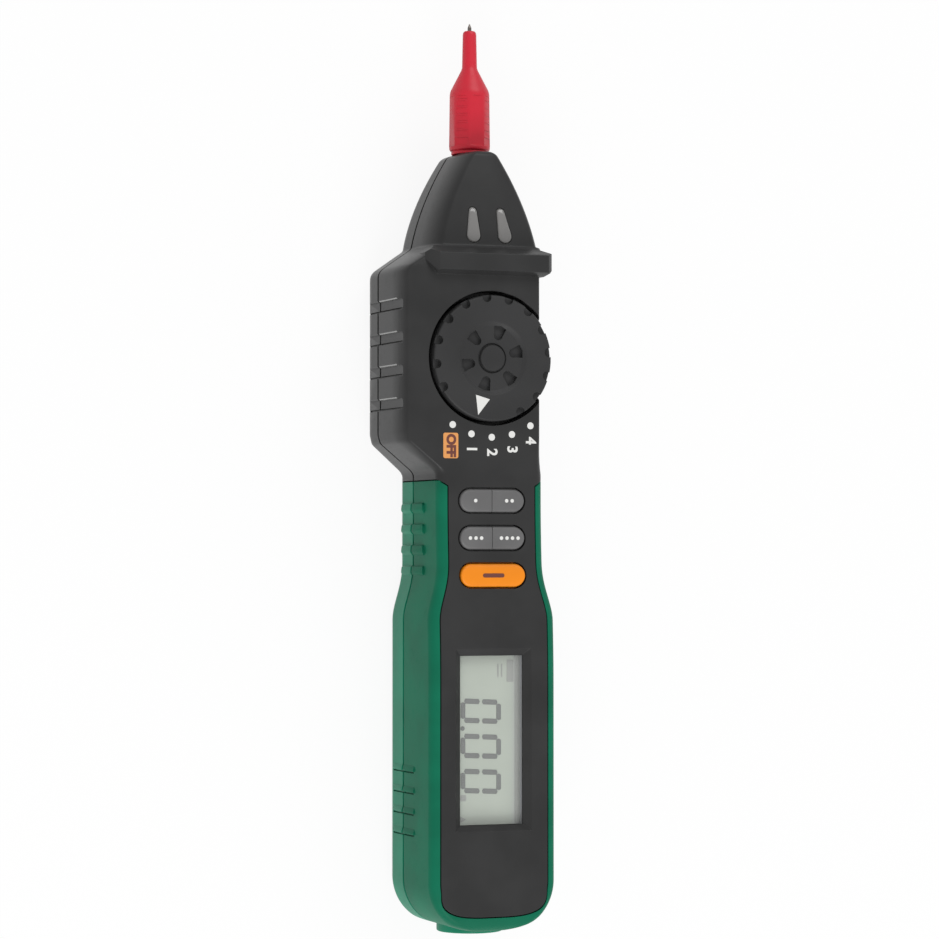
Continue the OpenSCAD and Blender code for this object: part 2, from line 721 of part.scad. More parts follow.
// Front case: nose, head, guard and the black panel between the grips
module front_case() color(black) difference() {
    union() {
        difference() {
            union() {
                intersection() {
                    housing_form();
                    along_z(seam_h + seam_gap, guard_h) core_outline(0);
                }
                finger_guard();
            }
            front_hollows();
        }
        at_low_screws() along_z(seam_h, roof_h) circle(screw_r + boss_wall);
        at_high_screws() along_z(seam_h, well_under_h) circle(screw_r + boss_wall);
        translate([0, dial_y]) along_z(well_under_h - rotor_t, well_under_h)
            ring(rotor_r + detent_gap + detent_wall, rotor_r + detent_gap);
    }
    dial_well();
    for (i = [0:2]) translate([0, first_key_y - i * key_pitch]) along_z(board_h, guard_h) pill(key_hw,
        key_hl);
    window_opening();
    along_z(board_h, nose_base_h + cut) {
        at_sense_lens() lens_outline(lens_gap);
        at_logic_lens() lens_outline(lens_gap);
    }
    side_grooves();
    socket_room();
    holder_room();
    along_z(seam_h - cut, seam_h + screw_l) {
        at_low_screws() circle(screw_r);
        at_high_screws() circle(screw_r);
    }
}

nose_hollow_h = axis_h + holder_r + 2 * head_wall;
hollow_end_y = nose_end_y - holder_l + holder_rib_in;
module nose_bands(inset) {
    band(nose_y - 2 * head_wall, hollow_end_y - holder_rib_t, inset);
    band(hollow_end_y, nose_end_y - holder_l / 3, inset);
}
module front_hollows() {
    low = seam_h - cut;
    along_z(low, roof_h) band(panel_y + core_wall, head_y - head_wall, rim_w + core_wall);
    along_z(low, well_under_h) {
        band(grip_y + core_wall, nose_y - head_wall, head_wall);
        rect(-waist_hw + rim_w + core_wall, waist_hw - rim_w - core_wall, grip_y - head_wall,
            head_y + head_wall);
    }
    along_z(low, nose_hollow_h) nose_bands(head_wall);
}

module dial_well() translate([0, dial_y]) {
    along_z(well_under_h + well_floor_t, guard_h) circle(dial_r + well_gap);
    along_z(well_under_h - cut, guard_h) circle(hub_r + hub_gap);
    for (side = [0, 180], i = [-1:3])
        rotate(pointer_a + side + i * step_a) translate([rotor_r + detent_gap, 0])
            along_z(well_under_h - rotor_t - cut, well_under_h) circle(ball_r / 2);
}

module window_opening() translate([0, window_y]) {
    hull() {
        along_z(window_h - window_t / 2, window_h) square([2 * window_hw, 2 * window_hl], center = true);
        along_z(guard_h, guard_h + cut) square([2 * (window_hw + bevel_w * (guard_h - window_h)
            / (belly_face_h - window_h)), 2 * (window_hl + bevel_w * (guard_h - window_h)
            / (belly_face_h - window_h))], center = true);
    }
    along_z(roof_h - cut, window_h) square([2 * (window_hw + window_lap + key_gap / 2),
        2 * (window_hl + window_lap + key_gap / 2)], center = true);
}

// Rear case: back, battery bay and its walls
bay_hw = 2 * cell_r + cell_gap / 2 + bay_gap;
bay_roof_h = door_t + bay_gap + 2 * cell_r + bay_gap;
module rear_case() color(black) difference() {
    union() {
        difference() {
            intersection() {
                housing_form();
                along_z(-cut, seam_h - seam_gap) core_outline(0);
            }
            rear_hollows();
        }
        along_z(floor_t, bay_roof_h + bay_wall) rect(-bay_hw - bay_wall, bay_hw + bay_wall,
            bay_y - bay_end_wall, bay_top_y + bay_end_wall);
        along_z(floor_t, seam_h - seam_gap) rect(rim_w - belly_hw, belly_hw - rim_w,
            bay_y - bay_end_wall, bay_top_y + bay_end_wall);
        at_low_screws() screw_boss();
        at_high_screws() screw_boss();
        for (p = post_places) translate([p[0] * waist_hw / 2, p[1]]) along_z(floor_t,
            board_h - board_t) circle(post_r);
        translate([0, door_screw_y]) along_z(floor_t,
            axis_h - socket_r - door_gap) circle(screw_r + boss_wall);
    }
    along_z(-cut, bay_roof_h) rect(-bay_hw, bay_hw, bay_y, bay_top_y);
    along_z(-cut, door_t) door_outline(door_gap);
    translate([0, door_screw_y]) along_z(0, door_t + door_screw_l + door_gap) circle(screw_r + close_fit);
    along_z(-cut, seam_h + cut) {
        at_low_screws() circle(screw_r + door_gap);
        at_high_screws() circle(screw_r + door_gap);
    }
    along_z(-cut, screw_sink + screw_head_t) {
        at_low_screws() circle(screw_head_r + door_gap);
        at_high_screws() circle(screw_head_r + door_gap);
    }
    side_grooves();
    socket_room();
    holder_room();
}

module screw_boss() {
    along_z(floor_t, seam_h) circle(screw_r + boss_wall);
    along_z(floor_t, screw_sink + screw_head_t + core_wall) circle(screw_head_r + boss_wall);
}
module rear_hollows() {
    top = seam_h + cut;
    along_z(seat_t, top) band(panel_y + core_wall, bay_y - bay_end_wall, rim_w + core_wall);
    along_z(floor_t, top) band(bay_top_y + bay_top_wall, head_y + core_wall, rim_w + core_wall);
    along_z(head_back_r / 2, top) band(grip_y + core_wall, nose_y, head_wall);
    along_z(floor_t, top) band(head_y, shoulder_y, head_back_r - floor_t / 2);
    along_z(nose_lift_h + floor_t, top) nose_bands(head_wall + floor_t / 2);
}

// Battery door with its screw tongue
door_hw = bay_hw + door_lap;
door_low_y = bay_y - bay_end_wall - door_lap;
door_top_y = bay_top_y + door_end_lap;
door_screw_y = door_low_y - tongue_l / 2;
module door_outline(gap) {
    rounded(-door_hw - gap, door_hw + gap, door_low_y - gap, door_top_y + gap, door_lap + gap);
    rounded(-tongue_hw - gap, tongue_hw + gap, door_low_y - tongue_l - gap, bay_y, door_lap + gap);
}
module battery_door() color(black) difference() {
    intersection() {
        along_z(0, door_t) door_outline(0);
        along_y(door_low_y - tongue_l, door_top_y) belly_section();
    }
    for (i = [0:door_ridges - 1])
        translate([0, door_top_y - door_end_lap * (i + 2), 0]) rotate([0, 90, 0])
            cylinder(h = bay_hw, r = door_t / 3, center = true);
    translate([0, door_screw_y]) {
        along_z(-cut, door_t + cut) circle(screw_r + door_gap);
        along_z(-cut, door_t / 2) circle(door_head_r + door_gap);
    }
}
// Flat back of the belly with its two round corners
module belly_section() {
    rounded(-belly_hw, belly_hw, 0, 3 * belly_back_r, belly_back_r);
}
module screw(shank_r, shank_l, head_r, head_t) {
    cylinder(h = head_t + shank_l, r = shank_r);
    difference() {
        cylinder(h = head_t, r = head_r);
        for (a = [0, 90]) rotate(a) translate([-head_r / 2, -head_t / 8, -cut])
            cube([head_r, head_t / 4, cut + head_t / 2]);
    }
}
module battery_door_screw() color(steel) translate([0, door_screw_y, 0])
    translate([0, 0, door_t / 8]) screw(screw_r, door_t * 7 / 8 + door_screw_l - door_t * 3 / 8,
        door_head_r, door_t * 3 / 8);
module case_screws() color(steel) translate([0, 0, screw_sink]) {
    at_low_screws() screw(screw_r, screw_l, screw_head_r, screw_head_t);
    at_high_screws() screw(screw_r, screw_l, screw_head_r, screw_head_t);
}

// Green grips round the core
module grip(a, b, groove_a, groove_b) difference() {
    union() {
        intersection() {
            housing_form();
            along_z(a, b) rect(-belly_hw, belly_hw, lower_y, grip_y - seam_gap);
        }
        intersection() {
            flank_pads();
            along_z(a, b) rect(-belly_hw - pad_proud, belly_hw + pad_proud, lower_y, grip_y - seam_gap);
        }
    }
    along_z(-cut, guard_h) core_outline(0);
    along_z(groove_a, groove_b) core_outline(reveal);
    socket_room();
}
module front_grip() color(green) grip(seam_h + seam_gap, guard_h, head_face_h - rim_w / 3, guard_h);
module rear_grip() color(green) grip(-cut, seam_h - seam_gap, -cut, rim_w / 2);

// Probe
module probe_holder() color(ivory) difference() {
    union() {
        along_y(nose_end_y - holder_l, nose_end_y) translate([0, axis_h]) circle(holder_r);
        along_y(nose_end_y, nose_end_y + neck_l) translate([0, axis_h]) circle(neck_r);
    }
    along_y(nose_end_y - holder_l - cut, nose_end_y + neck_l + cut) translate([0,
        axis_h]) circle(probe_r + close_fit);
}
// A solid of revolution about the probe's axis, from rows of [radius, distance up from a place]
module turned(y, rows) translate([0, y, axis_h]) rotate([-90, 0, 0]) rotate_extrude() polygon(rows);
module probe_tip() color(steel) {
    foot = -holder_l - plate_t;
    turned(nose_end_y, [[0, foot], [probe_r, foot], [probe_r, probe_l - needle_l - taper_l],
        [needle_r, probe_l - needle_l], [needle_r, probe_l - point_l], [needle_r / 4, probe_l], [0,
            probe_l]]);
}
lug_share = 0.8;
module probe_lug() color(brass) difference() {
    union() {
        along_y(nose_end_y - holder_l - plate_t, nose_end_y - holder_l)
            translate([0, axis_h]) circle(holder_r * lug_share);
        along_z(board_h - board_t, axis_h + holder_r) rect(-probe_r, probe_r,
            nose_end_y - holder_l - plate_t, nose_end_y - holder_l);
    }
    along_y(nose_end_y - holder_l - cut, nose_end_y) translate([0, axis_h]) circle(probe_r + close_fit);
}
grip_taper_share = 0.95;
mouth_share = 0.75;
module probe_sleeve() color(red) difference() {
    grip_top = foot_l + sleeve_grip_l;
    cone_top = grip_top + sleeve_cone_l;
    union() turned(nose_end_y, [[0, 0], [foot_r, 0], [foot_r, foot_l], [sleeve_r - foot_l / 2, foot_l],
        [sleeve_r, foot_l * 3 / 2], [sleeve_r * grip_taper_share, grip_top], [tube_low_r, cone_top],
        [tube_top_r, sleeve_l - tube_top_r / 2], [tube_top_r * mouth_share, sleeve_l], [0, sleeve_l]]);
    turned(nose_end_y, [[0, -cut], [neck_r + sleeve_fit, -cut], [neck_r + sleeve_fit, neck_l + sleeve_fit],
        [probe_r + mouth_fit, neck_l + probe_r], [probe_r + mouth_fit,
            probe_l - needle_l - taper_l + sleeve_fit],
        [needle_r + mouth_fit, probe_l - needle_l - mouth_fit], [needle_r + mouth_fit, sleeve_l + cut],
            [0, sleeve_l + cut]]);
    sleeve_panels(grip_top);
}
// Flat panels round the sleeve's grip, each with cross ridges left standing
module sleeve_panels(grip_top) for (i = [0:7]) translate([0, nose_end_y, axis_h]) rotate([0, i * 45, 0])
    along_y(foot_l * 2, grip_top - foot_l)
        rect(-sleeve_flat_hw, sleeve_flat_hw, sleeve_r - sleeve_flat_d, sleeve_r + cut);

// Dial and what turns with it, drawn with the pointer along +X and then set to the second position
dial_bottom_h = well_under_h + well_floor_t + dial_play;
dial_face_h = head_face_h + dial_proud;
pointer_a = -90 - step_a;
pointer_tip_share = 0.94;
pocket_inner_share = 1.4;
pocket_outer_share = 1.35;
module at_dial() translate([0, dial_y, 0]) rotate(pointer_a) children();
module dial() color(black) at_dial() difference() {
    dish_h = dial_face_h - dish_d;
    edge = dial_proud / 2;
    rotate_extrude() polygon([[0, well_under_h - dial_play], [hub_r, well_under_h - dial_play],
        [hub_r, dial_bottom_h], [dial_r, dial_bottom_h], [dial_r, dial_face_h - edge],
        [dial_r - edge, dial_face_h], [dish_r, dial_face_h], [dish_r - dish_slope_w, dish_h],
        [boss_r + edge, dish_h], [boss_r, dial_face_h - dish_d / 3], [0, dial_face_h - dish_d / 3]]);
    for (i = [2:notch_places - 2]) rotate(i * 360 / notch_places) along_z(dial_face_h - notch_h,
        dial_face_h + cut) {
        translate([dial_r - notch_d + notch_w / 2, 0]) circle(notch_w / 2);
        rect(dial_r - notch_d + notch_w / 2, dial_r + cut, -notch_w / 2, notch_w / 2);
    }
    for (i = [0:5]) rotate(i * 60) along_z(dish_h - pocket_d, dial_face_h) dish_pocket();
    along_z(dial_face_h - pointer_t, dial_face_h + cut) pointer_outline(seam_gap / 2);
}
// One pocket of the dish, with round corners
module dish_pocket() {
    inner = boss_r * pocket_inner_share;
    outer = dish_r - dish_slope_w * pocket_outer_share;
    r = boss_r / 8;
    difference() {
        ring(outer, inner);
        rotate(pocket_a) rect(-outer, outer, 0, outer);
        rotate(-pocket_a) rect(-outer, outer, -outer, 0);
        rect(-outer, 0, -outer, outer);
    }
    translate([outer - r, 0]) circle(r);
}
module pointer_outline(gap) {
    tip = dial_r * pointer_tip_share;
    polygon([[tip + 2 * gap, 0], [tip - pointer_l - gap, pointer_w / 2 + gap],
        [tip - pointer_l - gap, -pointer_w / 2 - gap]]);
}
module dial_pointer() color("white") at_dial()
    along_z(dial_face_h - pointer_t, dial_face_h + seam_gap / 2) pointer_outline(0);
module dial_rotor() color(ivory) at_dial() difference() {
    along_z(rotor_top_h - rotor_t, rotor_top_h) circle(rotor_r);
    for (a = [0, 180]) rotate(a) translate([0, 0, rotor_top_h - rotor_t / 2]) rotate([0, 90, 0])
        translate([0, 0, rotor_r - 4 * ball_r]) cylinder(h = rotor_r, r = ball_r + close_fit);
    along_z(rotor_top_h - rotor_t - cut, rotor_top_h - rotor_t / 2) circle(boss_r);
}
module detent_balls() color(steel) at_dial() for (a = [0, 180]) rotate(a)
    translate([rotor_r - ball_r / 2, 0, rotor_top_h - rotor_t / 2]) sphere(r = ball_r);
detent_coil_share = 0.7;
detent_reach_share = 2.45;
detent_turns = 4;
module detent_springs() color(steel) at_dial() for (a = [0, 180]) rotate(a)
    translate([rotor_r - 4 * ball_r, 0, rotor_top_h - rotor_t / 2]) rotate([0, 90, 0])
        coil(ball_r * detent_coil_share, ball_r * detent_coil_share, ball_r * detent_reach_share,
            detent_turns, detent_wire_r, 8, 5);
// Reach of the wipers' tips and of their blade
wiper_shares = [0.6, 0.66, 0.8];
module dial_wipers() color(brass) at_dial() for (i = [0:2]) rotate(60 + i * 120) {
    low = board_h + wiper_t / 4;
    foot = rotor_top_h - rotor_t;
    along_z(foot - wiper_t, foot) rect(boss_r, rotor_r * wiper_shares[2], -ball_r, ball_r);
    for (s = [-1, 1]) along_y(s * ball_r * 3 / 4 - ball_r / 4, s * ball_r * 3 / 4 + ball_r / 4)
        polygon([[boss_r, foot - wiper_t], [rotor_r * wiper_shares[0], low], [rotor_r * wiper_shares[1], low],
            [rotor_r * wiper_shares[0], low + wiper_t], [boss_r + wiper_t * 2, foot - wiper_t]]);
}

// Keys: a crowned cap in its opening, a flange that holds it in, and a stem over its dome
function key_y(row) = first_key_y - row * key_pitch;
flange_h = roof_h - seam_gap;
dome_top_h = roof_h - dome_drop;
dome_h = dome_top_h - board_h - mat_t;
stem_low_h = dome_top_h + stem_gap + key_travel;
crown_steps = 16;
module key_body(row, stem_xs) translate([0, key_y(row)]) {
    top = face_h(key_y(row)) + key_proud;
    half_a = asin(key_hl / crown_r);
    intersection() {
        along_z(flange_h - flange_t, top) pill(key_hw - key_gap, key_hl - key_gap);
        along_x(-key_hw, key_hw) polygon(concat([[-key_hl, board_h], [key_hl, board_h]],
            [for (i = [0:crown_steps]) let (a = half_a * (1 - 2 * i / crown_steps))
                [crown_r * sin(a), top - crown_r * (1 - cos(a))]]));
    }
    along_z(flange_h - flange_t, flange_h) pill(key_hw + flange_w, key_hl + flange_w);
    for (x = stem_xs) translate([x, 0]) along_z(stem_low_h, flange_h) circle(stem_r);
}
stem_x = key_hw / 2;
module half_key(row, side) {
    top = face_h(key_y(row)) + key_proud;
    difference() {
        intersection() {
            key_body(row, [side * stem_x]);
            scale([side, 1, 1]) along_z(board_h, guard_h) rect(split_gap / 2, 2 * key_hw, lower_y,
                nose_end_y);
        }
        along_y(key_y(row) - key_hl, key_y(row) + key_hl)
            polygon([[-valley_hw, top + seam_gap], [valley_hw, top + seam_gap], [0, top - valley_d]]);
    }
}
module range_key() color(key_grey) half_key(0, -1);
module hold_key() color(key_grey) half_key(0, 1);
module peak_key() color(key_grey) half_key(1, -1);
module function_key() color(key_grey) half_key(1, 1);
module sense_key() color(orange) key_body(2, [0]);
module keypad_mat() color([0.35, 0.36, 0.38]) {
    along_z(board_h, board_h + mat_t) rounded(-key_hw, key_hw, key_y(2) - key_pitch / 2,
        key_y(0) + key_pitch / 2, key_gap * 2);
    for (row = [0, 1], s = [-1, 1]) translate([s * stem_x, key_y(row), board_h + mat_t])
        cylinder(h = dome_h, r1 = dome_r, r2 = stem_r);
    translate([0, key_y(2), board_h + mat_t]) cylinder(h = dome_h, r1 = dome_r, r2 = stem_r);
}

// Display
panel_hw = window_hw + panel_lap;
panel_hl = window_hl + panel_lap;
module lcd_window() color([0.8, 0.85, 0.85, 0.4]) translate([0, window_y])
    along_z(window_h - window_t, window_h) square([2 * (window_hw + window_lap),
        2 * (window_hl + window_lap)], center = true);
module lcd_panel() color([0.7, 0.76, 0.7]) translate([0, window_y])
    along_z(panel_low_h, roof_h) square([2 * panel_hw, 2 * panel_hl], center = true);
panel_low_h = roof_h - panel_t;
module lcd_holder() color(ivory) translate([0, window_y]) difference() {
    along_z(board_h, roof_h - seam_gap) square([2 * (panel_hw + seam_gap + holder_wall),
        2 * (panel_hl + seam_gap + holder_wall)], center = true);
    along_z(panel_low_h, roof_h) square([2 * (panel_hw + seam_gap), 2 * (panel_hl + seam_gap)],
        center = true);
    along_z(board_h - cut, roof_h) square([2 * (panel_hw - seam_gap), 2 * (panel_hl - holder_wall)],
        center = true);
}
module lcd_contact_strips() color([0.85, 0.55, 0.6]) translate([0, window_y]) for (s = [-1, 1])
    translate([s * (panel_hw - 2 * strip_hw), 0]) along_z(board_h, panel_low_h)
        square([2 * strip_hw, 2 * (panel_hl - 2 * holder_wall)], center = true);

// Indicator lenses and lamps
lamp_top_h = board_h + lamp_h;
lens_low_h = lamp_top_h + lens_gap;
module lens_outline(wider) tear(lens_low_r + wider, lens_top_r + wider);
module nose_slab(above) along_x(-head_reach, head_reach) polygon([[nose_y, lamp_top_h],
    [nose_end_y, lamp_top_h], [nose_end_y, nose_end_h + above], [nose_y, nose_base_h + above]]);
module sense_lens() color([0.45, 0.43, 0.42, 0.6]) {
    intersection() {
        at_sense_lens() along_z(lens_low_h, nose_base_h + cut) lens_outline(0);
        nose_slab(lens_proud);
    }
    at_sense_lens() along_z(nose_hollow_h - lens_flange_t, nose_hollow_h) lens_outline(lens_flange_w);
}
module logic_lens() color([0.45, 0.43, 0.42, 0.6]) {
    intersection() {
        at_logic_lens() along_z(lens_low_h, nose_base_h + cut) lens_outline(0);
        nose_slab(lens_proud);
    }
    at_logic_lens() along_z(nose_hollow_h - lens_flange_t, nose_hollow_h) lens_outline(lens_flange_w);
}
module lamp() {
    cylinder(h = lamp_h - lamp_r / 2, r = lamp_r);
    translate([0, 0, lamp_h - lamp_r / 2]) cylinder(h = lamp_r / 2, r1 = lamp_r, r2 = lamp_r / 2);
}
module sense_lamp() color("crimson") translate([-lens_x, lens_y + lens_l / 3, board_h]) lamp();
lamp_shares = [0.05, 0.72];
logic_lamp_share = 0.85;
module logic_lamps() color([0.7, 0.85, 0.6]) for (s = lamp_shares)
    translate([lens_x + lens_l * sin(lens_lean) * (1 / 2 - s), lens_y + lens_l * s,
        board_h]) scale(logic_lamp_share) lamp();
module sensing_plate() color(brass) along_z(nose_hollow_h - sense_t, nose_hollow_h)
    rect(-holder_r, holder_r, hollow_end_y + board_gap, nose_end_y - holder_l / 3 - board_gap);

// Board and its parts
board_top_y = nose_end_y - holder_l - plate_t;
module main_board() color(board_green) difference() {
    along_z(board_low_h, board_h) {
        band(bay_y - bay_end_wall, flare_y, rim_w + core_wall + board_gap);
        band(flare_y, head_y - cut, rim_w + core_wall + board_gap);
        rect(-waist_hw + rim_w + core_wall + board_gap, waist_hw - head_wall - board_gap,
            head_y - 2 * cut, head_y + slope_l);
        rect(high_screw_x + screw_r + boss_wall + board_gap, waist_hw - head_wall - board_gap,
            head_y + slope_l, nose_y - head_wall - board_gap);
        rect(-nose_base_hw / 2, nose_base_hw / 2, nose_y - 2 * head_wall, board_top_y);
    }
    along_z(board_low_h - cut, board_h + cut) translate([0, dial_y]) circle(boss_r / 2);
}
module measuring_chip() color(black) translate([0, dial_y, 0]) {
    along_z(board_low_h - chip_h, board_low_h) translate([-boss_r, 0]) square(chip_l, center = true);
}
part_rows = [[-1, -1], [-1, 0], [0, -1], [1, 1], [0, 1], [1, 0]];
module board_parts() color([0.75, 0.7, 0.6]) for (p = part_rows)
    translate([p[0] * waist_hw / 4, (waist_y + head_y) / 2 + p[1] * waist_hw / 3])
        along_z(board_low_h - chip_h / 2, board_low_h) square([chip_h, 2 * chip_h], center = true);
module buzzer() color(black) translate([-boss_r, shoulder_y - buzzer_r / 2]) {
    along_z(board_low_h - buzzer_h, board_low_h) ring(buzzer_r, buzzer_r / 6);
    along_z(board_low_h - buzzer_h / 2, board_low_h) circle(buzzer_r / 6);
}
fuse_x = waist_hw / 2;
fuse_h = board_low_h - fuse_r - plate_t;
module at_fuse() translate([fuse_x, dial_y, fuse_h]) rotate([90, 0, 0]) children();
tube_share = 0.94;
module fuse() color([0.85, 0.87, 0.88]) at_fuse() {
    cylinder(h = fuse_l, r = fuse_r * tube_share, center = true);
    for (s = [-1, 1]) translate([0, 0, s * (fuse_l - fuse_cap_l) / 2])
        cylinder(h = fuse_cap_l, r = fuse_r, center = true);
}
module fuse_clips() color(brass) at_fuse() for (s = [-1, 1]) translate([0, 0, s * (fuse_l - fuse_cap_l) / 2])
    difference() {
        union() {
            cylinder(h = fuse_cap_l / 2, r = fuse_r + plate_t, center = true);
            translate([0, fuse_r / 2 + plate_t / 2, 0])
                cube([fuse_r, fuse_r + plate_t, fuse_cap_l / 2], center = true);
        }
        cylinder(h = fuse_cap_l, r = fuse_r + close_fit, center = true);
        translate([0, -fuse_r, 0]) cube([2 * fuse_r + cut, fuse_r, fuse_cap_l], center = true);
    }

// Common socket
module socket_collar() color(green) difference() {
    edge = collar_proud / 4;
    turned(lower_y, [[0, -collar_proud], [collar_r - edge, -collar_proud],
        [collar_r - seam_gap, edge - collar_proud], [collar_r - seam_gap, collar_in], [0, collar_in]]);
    along_y(lower_y - collar_proud - cut, collar_y + cut) translate([0, axis_h]) circle(shroud_r);
}
module socket_body() color(black) difference() {
    along_y(collar_y, socket_y) translate([0, axis_h]) circle(socket_r - seam_gap);
    along_y(collar_y - cut, socket_y - contact_end) translate([0, axis_h]) circle(shroud_r);
    along_y(collar_y, socket_y + cut) translate([0, axis_h]) circle(contact_r + close_fit);
}
contact_y = lower_y - collar_proud + contact_set;
module socket_contact() color(steel) difference() {
    union() {
        along_y(contact_y, socket_y + contact_end) translate([0, axis_h]) circle(contact_r);
        along_z(axis_h, board_h + plate_t) rect(-contact_r / 3, contact_r / 3, socket_y,
            socket_y + contact_end);
        along_z(board_h, board_h + plate_t) rect(-contact_r / 3, contact_r / 3, socket_y, bay_y - seam_gap);
    }
    along_y(contact_y - cut, contact_y + contact_bore_l) translate([0, axis_h]) circle(contact_bore_r);
}

// Cells and their contacts
cell_h = door_t + bay_gap + cell_r;
cell_x = cell_r + cell_gap / 2;
spring_l = bay_l - cell_l - 2 * plate_t;
spring_turns = 3;
coil_shares = [0.7, 0.4];
plate_share = 0.8;
module cell(turn) translate([0, (bay_y + bay_top_y) / 2, cell_h]) rotate([0, 0, turn])
    translate([0, (bay_l / 2 - plate_t) - cell_l, 0]) rotate([-90, 0, 0]) {
        cylinder(h = cell_l - button_l, r = cell_r);
        cylinder(h = cell_l, r = button_r);
    }
module cell_left() color([0.2, 0.25, 0.55]) translate([-cell_x, 0, 0]) cell(0);
module cell_right() color([0.2, 0.25, 0.55]) translate([cell_x, 0, 0]) cell(180);
module cell_springs() color(steel) {
    translate([-cell_x, bay_y + plate_t, cell_h]) rotate([-90, 0, 0])
        coil(cell_r * coil_shares[0], cell_r * coil_shares[1], spring_l, spring_turns, spring_wire_r, 12, 6);
    translate([cell_x, bay_top_y - plate_t, cell_h]) rotate([90, 0, 0])
        coil(cell_r * coil_shares[0], cell_r * coil_shares[1], spring_l, spring_turns, spring_wire_r, 12, 6);
}
module cell_plates() color(steel) {
    reach = cell_r * plate_share;
    along_y(bay_y, bay_y + plate_t) rounded(-cell_x - reach, cell_x + reach, cell_h - reach,
        cell_h + reach, cell_r / 4);
    for (s = [-1, 1]) along_y(bay_top_y - plate_t, bay_top_y) translate([s * cell_x, cell_h])
        square(2 * reach, center = true);
}

front_case();
front_grip();
rear_case();
rear_grip();
battery_door();
battery_door_screw();
case_screws();
probe_holder();
probe_tip();
probe_lug();
probe_sleeve();
dial();
dial_pointer();
dial_rotor();
dial_wipers();
detent_balls();
detent_springs();
range_key();
hold_key();
peak_key();
function_key();
sense_key();
keypad_mat();
lcd_window();
lcd_panel();
lcd_holder();
lcd_contact_strips();
sense_lens();
logic_lens();
sense_lamp();
logic_lamps();
sensing_plate();
main_board();
measuring_chip();
board_parts();
buzzer();
fuse();
fuse_clips();
socket_collar();
socket_body();
socket_contact();
cell_left();
cell_right();
cell_springs();
cell_plates();
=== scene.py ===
"""Pen multimeter lying on its back: the visible pieces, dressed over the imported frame."""

import logging
import math
from dataclasses import dataclass, field
from enum import Enum
from typing import Sequence

import bpy
from mathutils import Matrix, Vector
from mathutils.bvhtree import BVHTree


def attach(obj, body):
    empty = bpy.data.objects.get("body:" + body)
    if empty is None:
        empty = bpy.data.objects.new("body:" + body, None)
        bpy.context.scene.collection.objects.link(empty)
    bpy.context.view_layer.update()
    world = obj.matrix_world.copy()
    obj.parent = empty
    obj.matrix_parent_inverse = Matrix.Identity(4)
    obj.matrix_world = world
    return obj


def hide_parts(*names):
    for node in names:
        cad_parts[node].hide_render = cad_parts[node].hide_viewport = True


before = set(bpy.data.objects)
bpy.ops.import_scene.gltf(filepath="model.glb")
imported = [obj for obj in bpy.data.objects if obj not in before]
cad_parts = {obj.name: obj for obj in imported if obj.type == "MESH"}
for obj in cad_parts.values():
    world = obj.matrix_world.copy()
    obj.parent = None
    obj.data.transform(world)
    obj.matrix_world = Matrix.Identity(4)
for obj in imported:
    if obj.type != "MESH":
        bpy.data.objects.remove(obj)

LOG = logging.getLogger("multimeter")
MM = 0.001
Point2 = tuple[float, float]
Point3 = tuple[float, float, float]
Colour = tuple[float, float, float]
Outline = Sequence[Point2]

QUARTER = math.pi / 2
SEEN_RAYS = ("Is Camera Ray", "Is Glossy Ray", "Is Transmission Ray")

# How far cutters reach, in millimetres: over the meter, under it and past its flanks
ABOVE = 40
BELOW = -3
ASIDE = 30


class Along(Enum):
    """The row axis along which a flat outline is drawn out."""

    X = "x"
    Y = "y"
    Z = "z"

    def place(self, u: float, v: float, w: float) -> Point3:
        """Turn outline coordinates u, v and a distance w into a point of the row frame."""
        return {Along.X: (w, u, v), Along.Y: (u, w, v), Along.Z: (u, v, w)}[self]


class Carving(Enum):
    """How one solid changes another."""

    CUT = "DIFFERENCE"
    ADD = "UNION"
    KEEP = "INTERSECT"


# ---- shader graphs ----


class Value:
    """A shader socket that takes part in Python arithmetic."""

    def __init__(self, graph: "Graph", socket: bpy.types.NodeSocket) -> None:
        """Wrap a socket of a graph."""
        self.graph = graph
        self.socket = socket

    def _math(self, operation: str, first: object, second: object) -> "Value":
        """Add a Math node for two operands."""
        return self.graph.value("Math", {"operation": operation}, {0: first, 1: second})

    def __add__(self, other: object) -> "Value":
        """Sum with a value or a number."""
        return self._math("ADD", self, other)

    __radd__ = __add__

    def __sub__(self, other: object) -> "Value":
        """Difference from a value or a number."""
        return self._math("SUBTRACT", self, other)

    def __rsub__(self, other: object) -> "Value":
        """Difference of a number and this value."""
        return self._math("SUBTRACT", other, self)

    def __mul__(self, other: object) -> "Value":
        """Product with a value or a number."""
        return self._math("MULTIPLY", self, other)

    __rmul__ = __mul__

    def __truediv__(self, other: object) -> "Value":
        """Quotient by a value or a number."""
        return self._math("DIVIDE", self, other)

    def __rtruediv__(self, other: object) -> "Value":
        """Quotient of a number by this value."""
        return self._math("DIVIDE", other, self)

    def most(self, other: object) -> "Value":
        """The greater of this value and another."""
        return self._math("MAXIMUM", self, other)

    def above(self, other: object) -> "Value":
        """One where this value is above another, and nought elsewhere."""
        return self._math("GREATER_THAN", self, other)

    def between(self, low: float, high: float) -> "Value":
        """Run from nought at low to one at high, held at both ends."""
        ends = {"Value": self, "From Min": low, "From Max": high}
        return self.graph.value("MapRange", {"interpolation_type": "SMOOTHSTEP"}, ends)


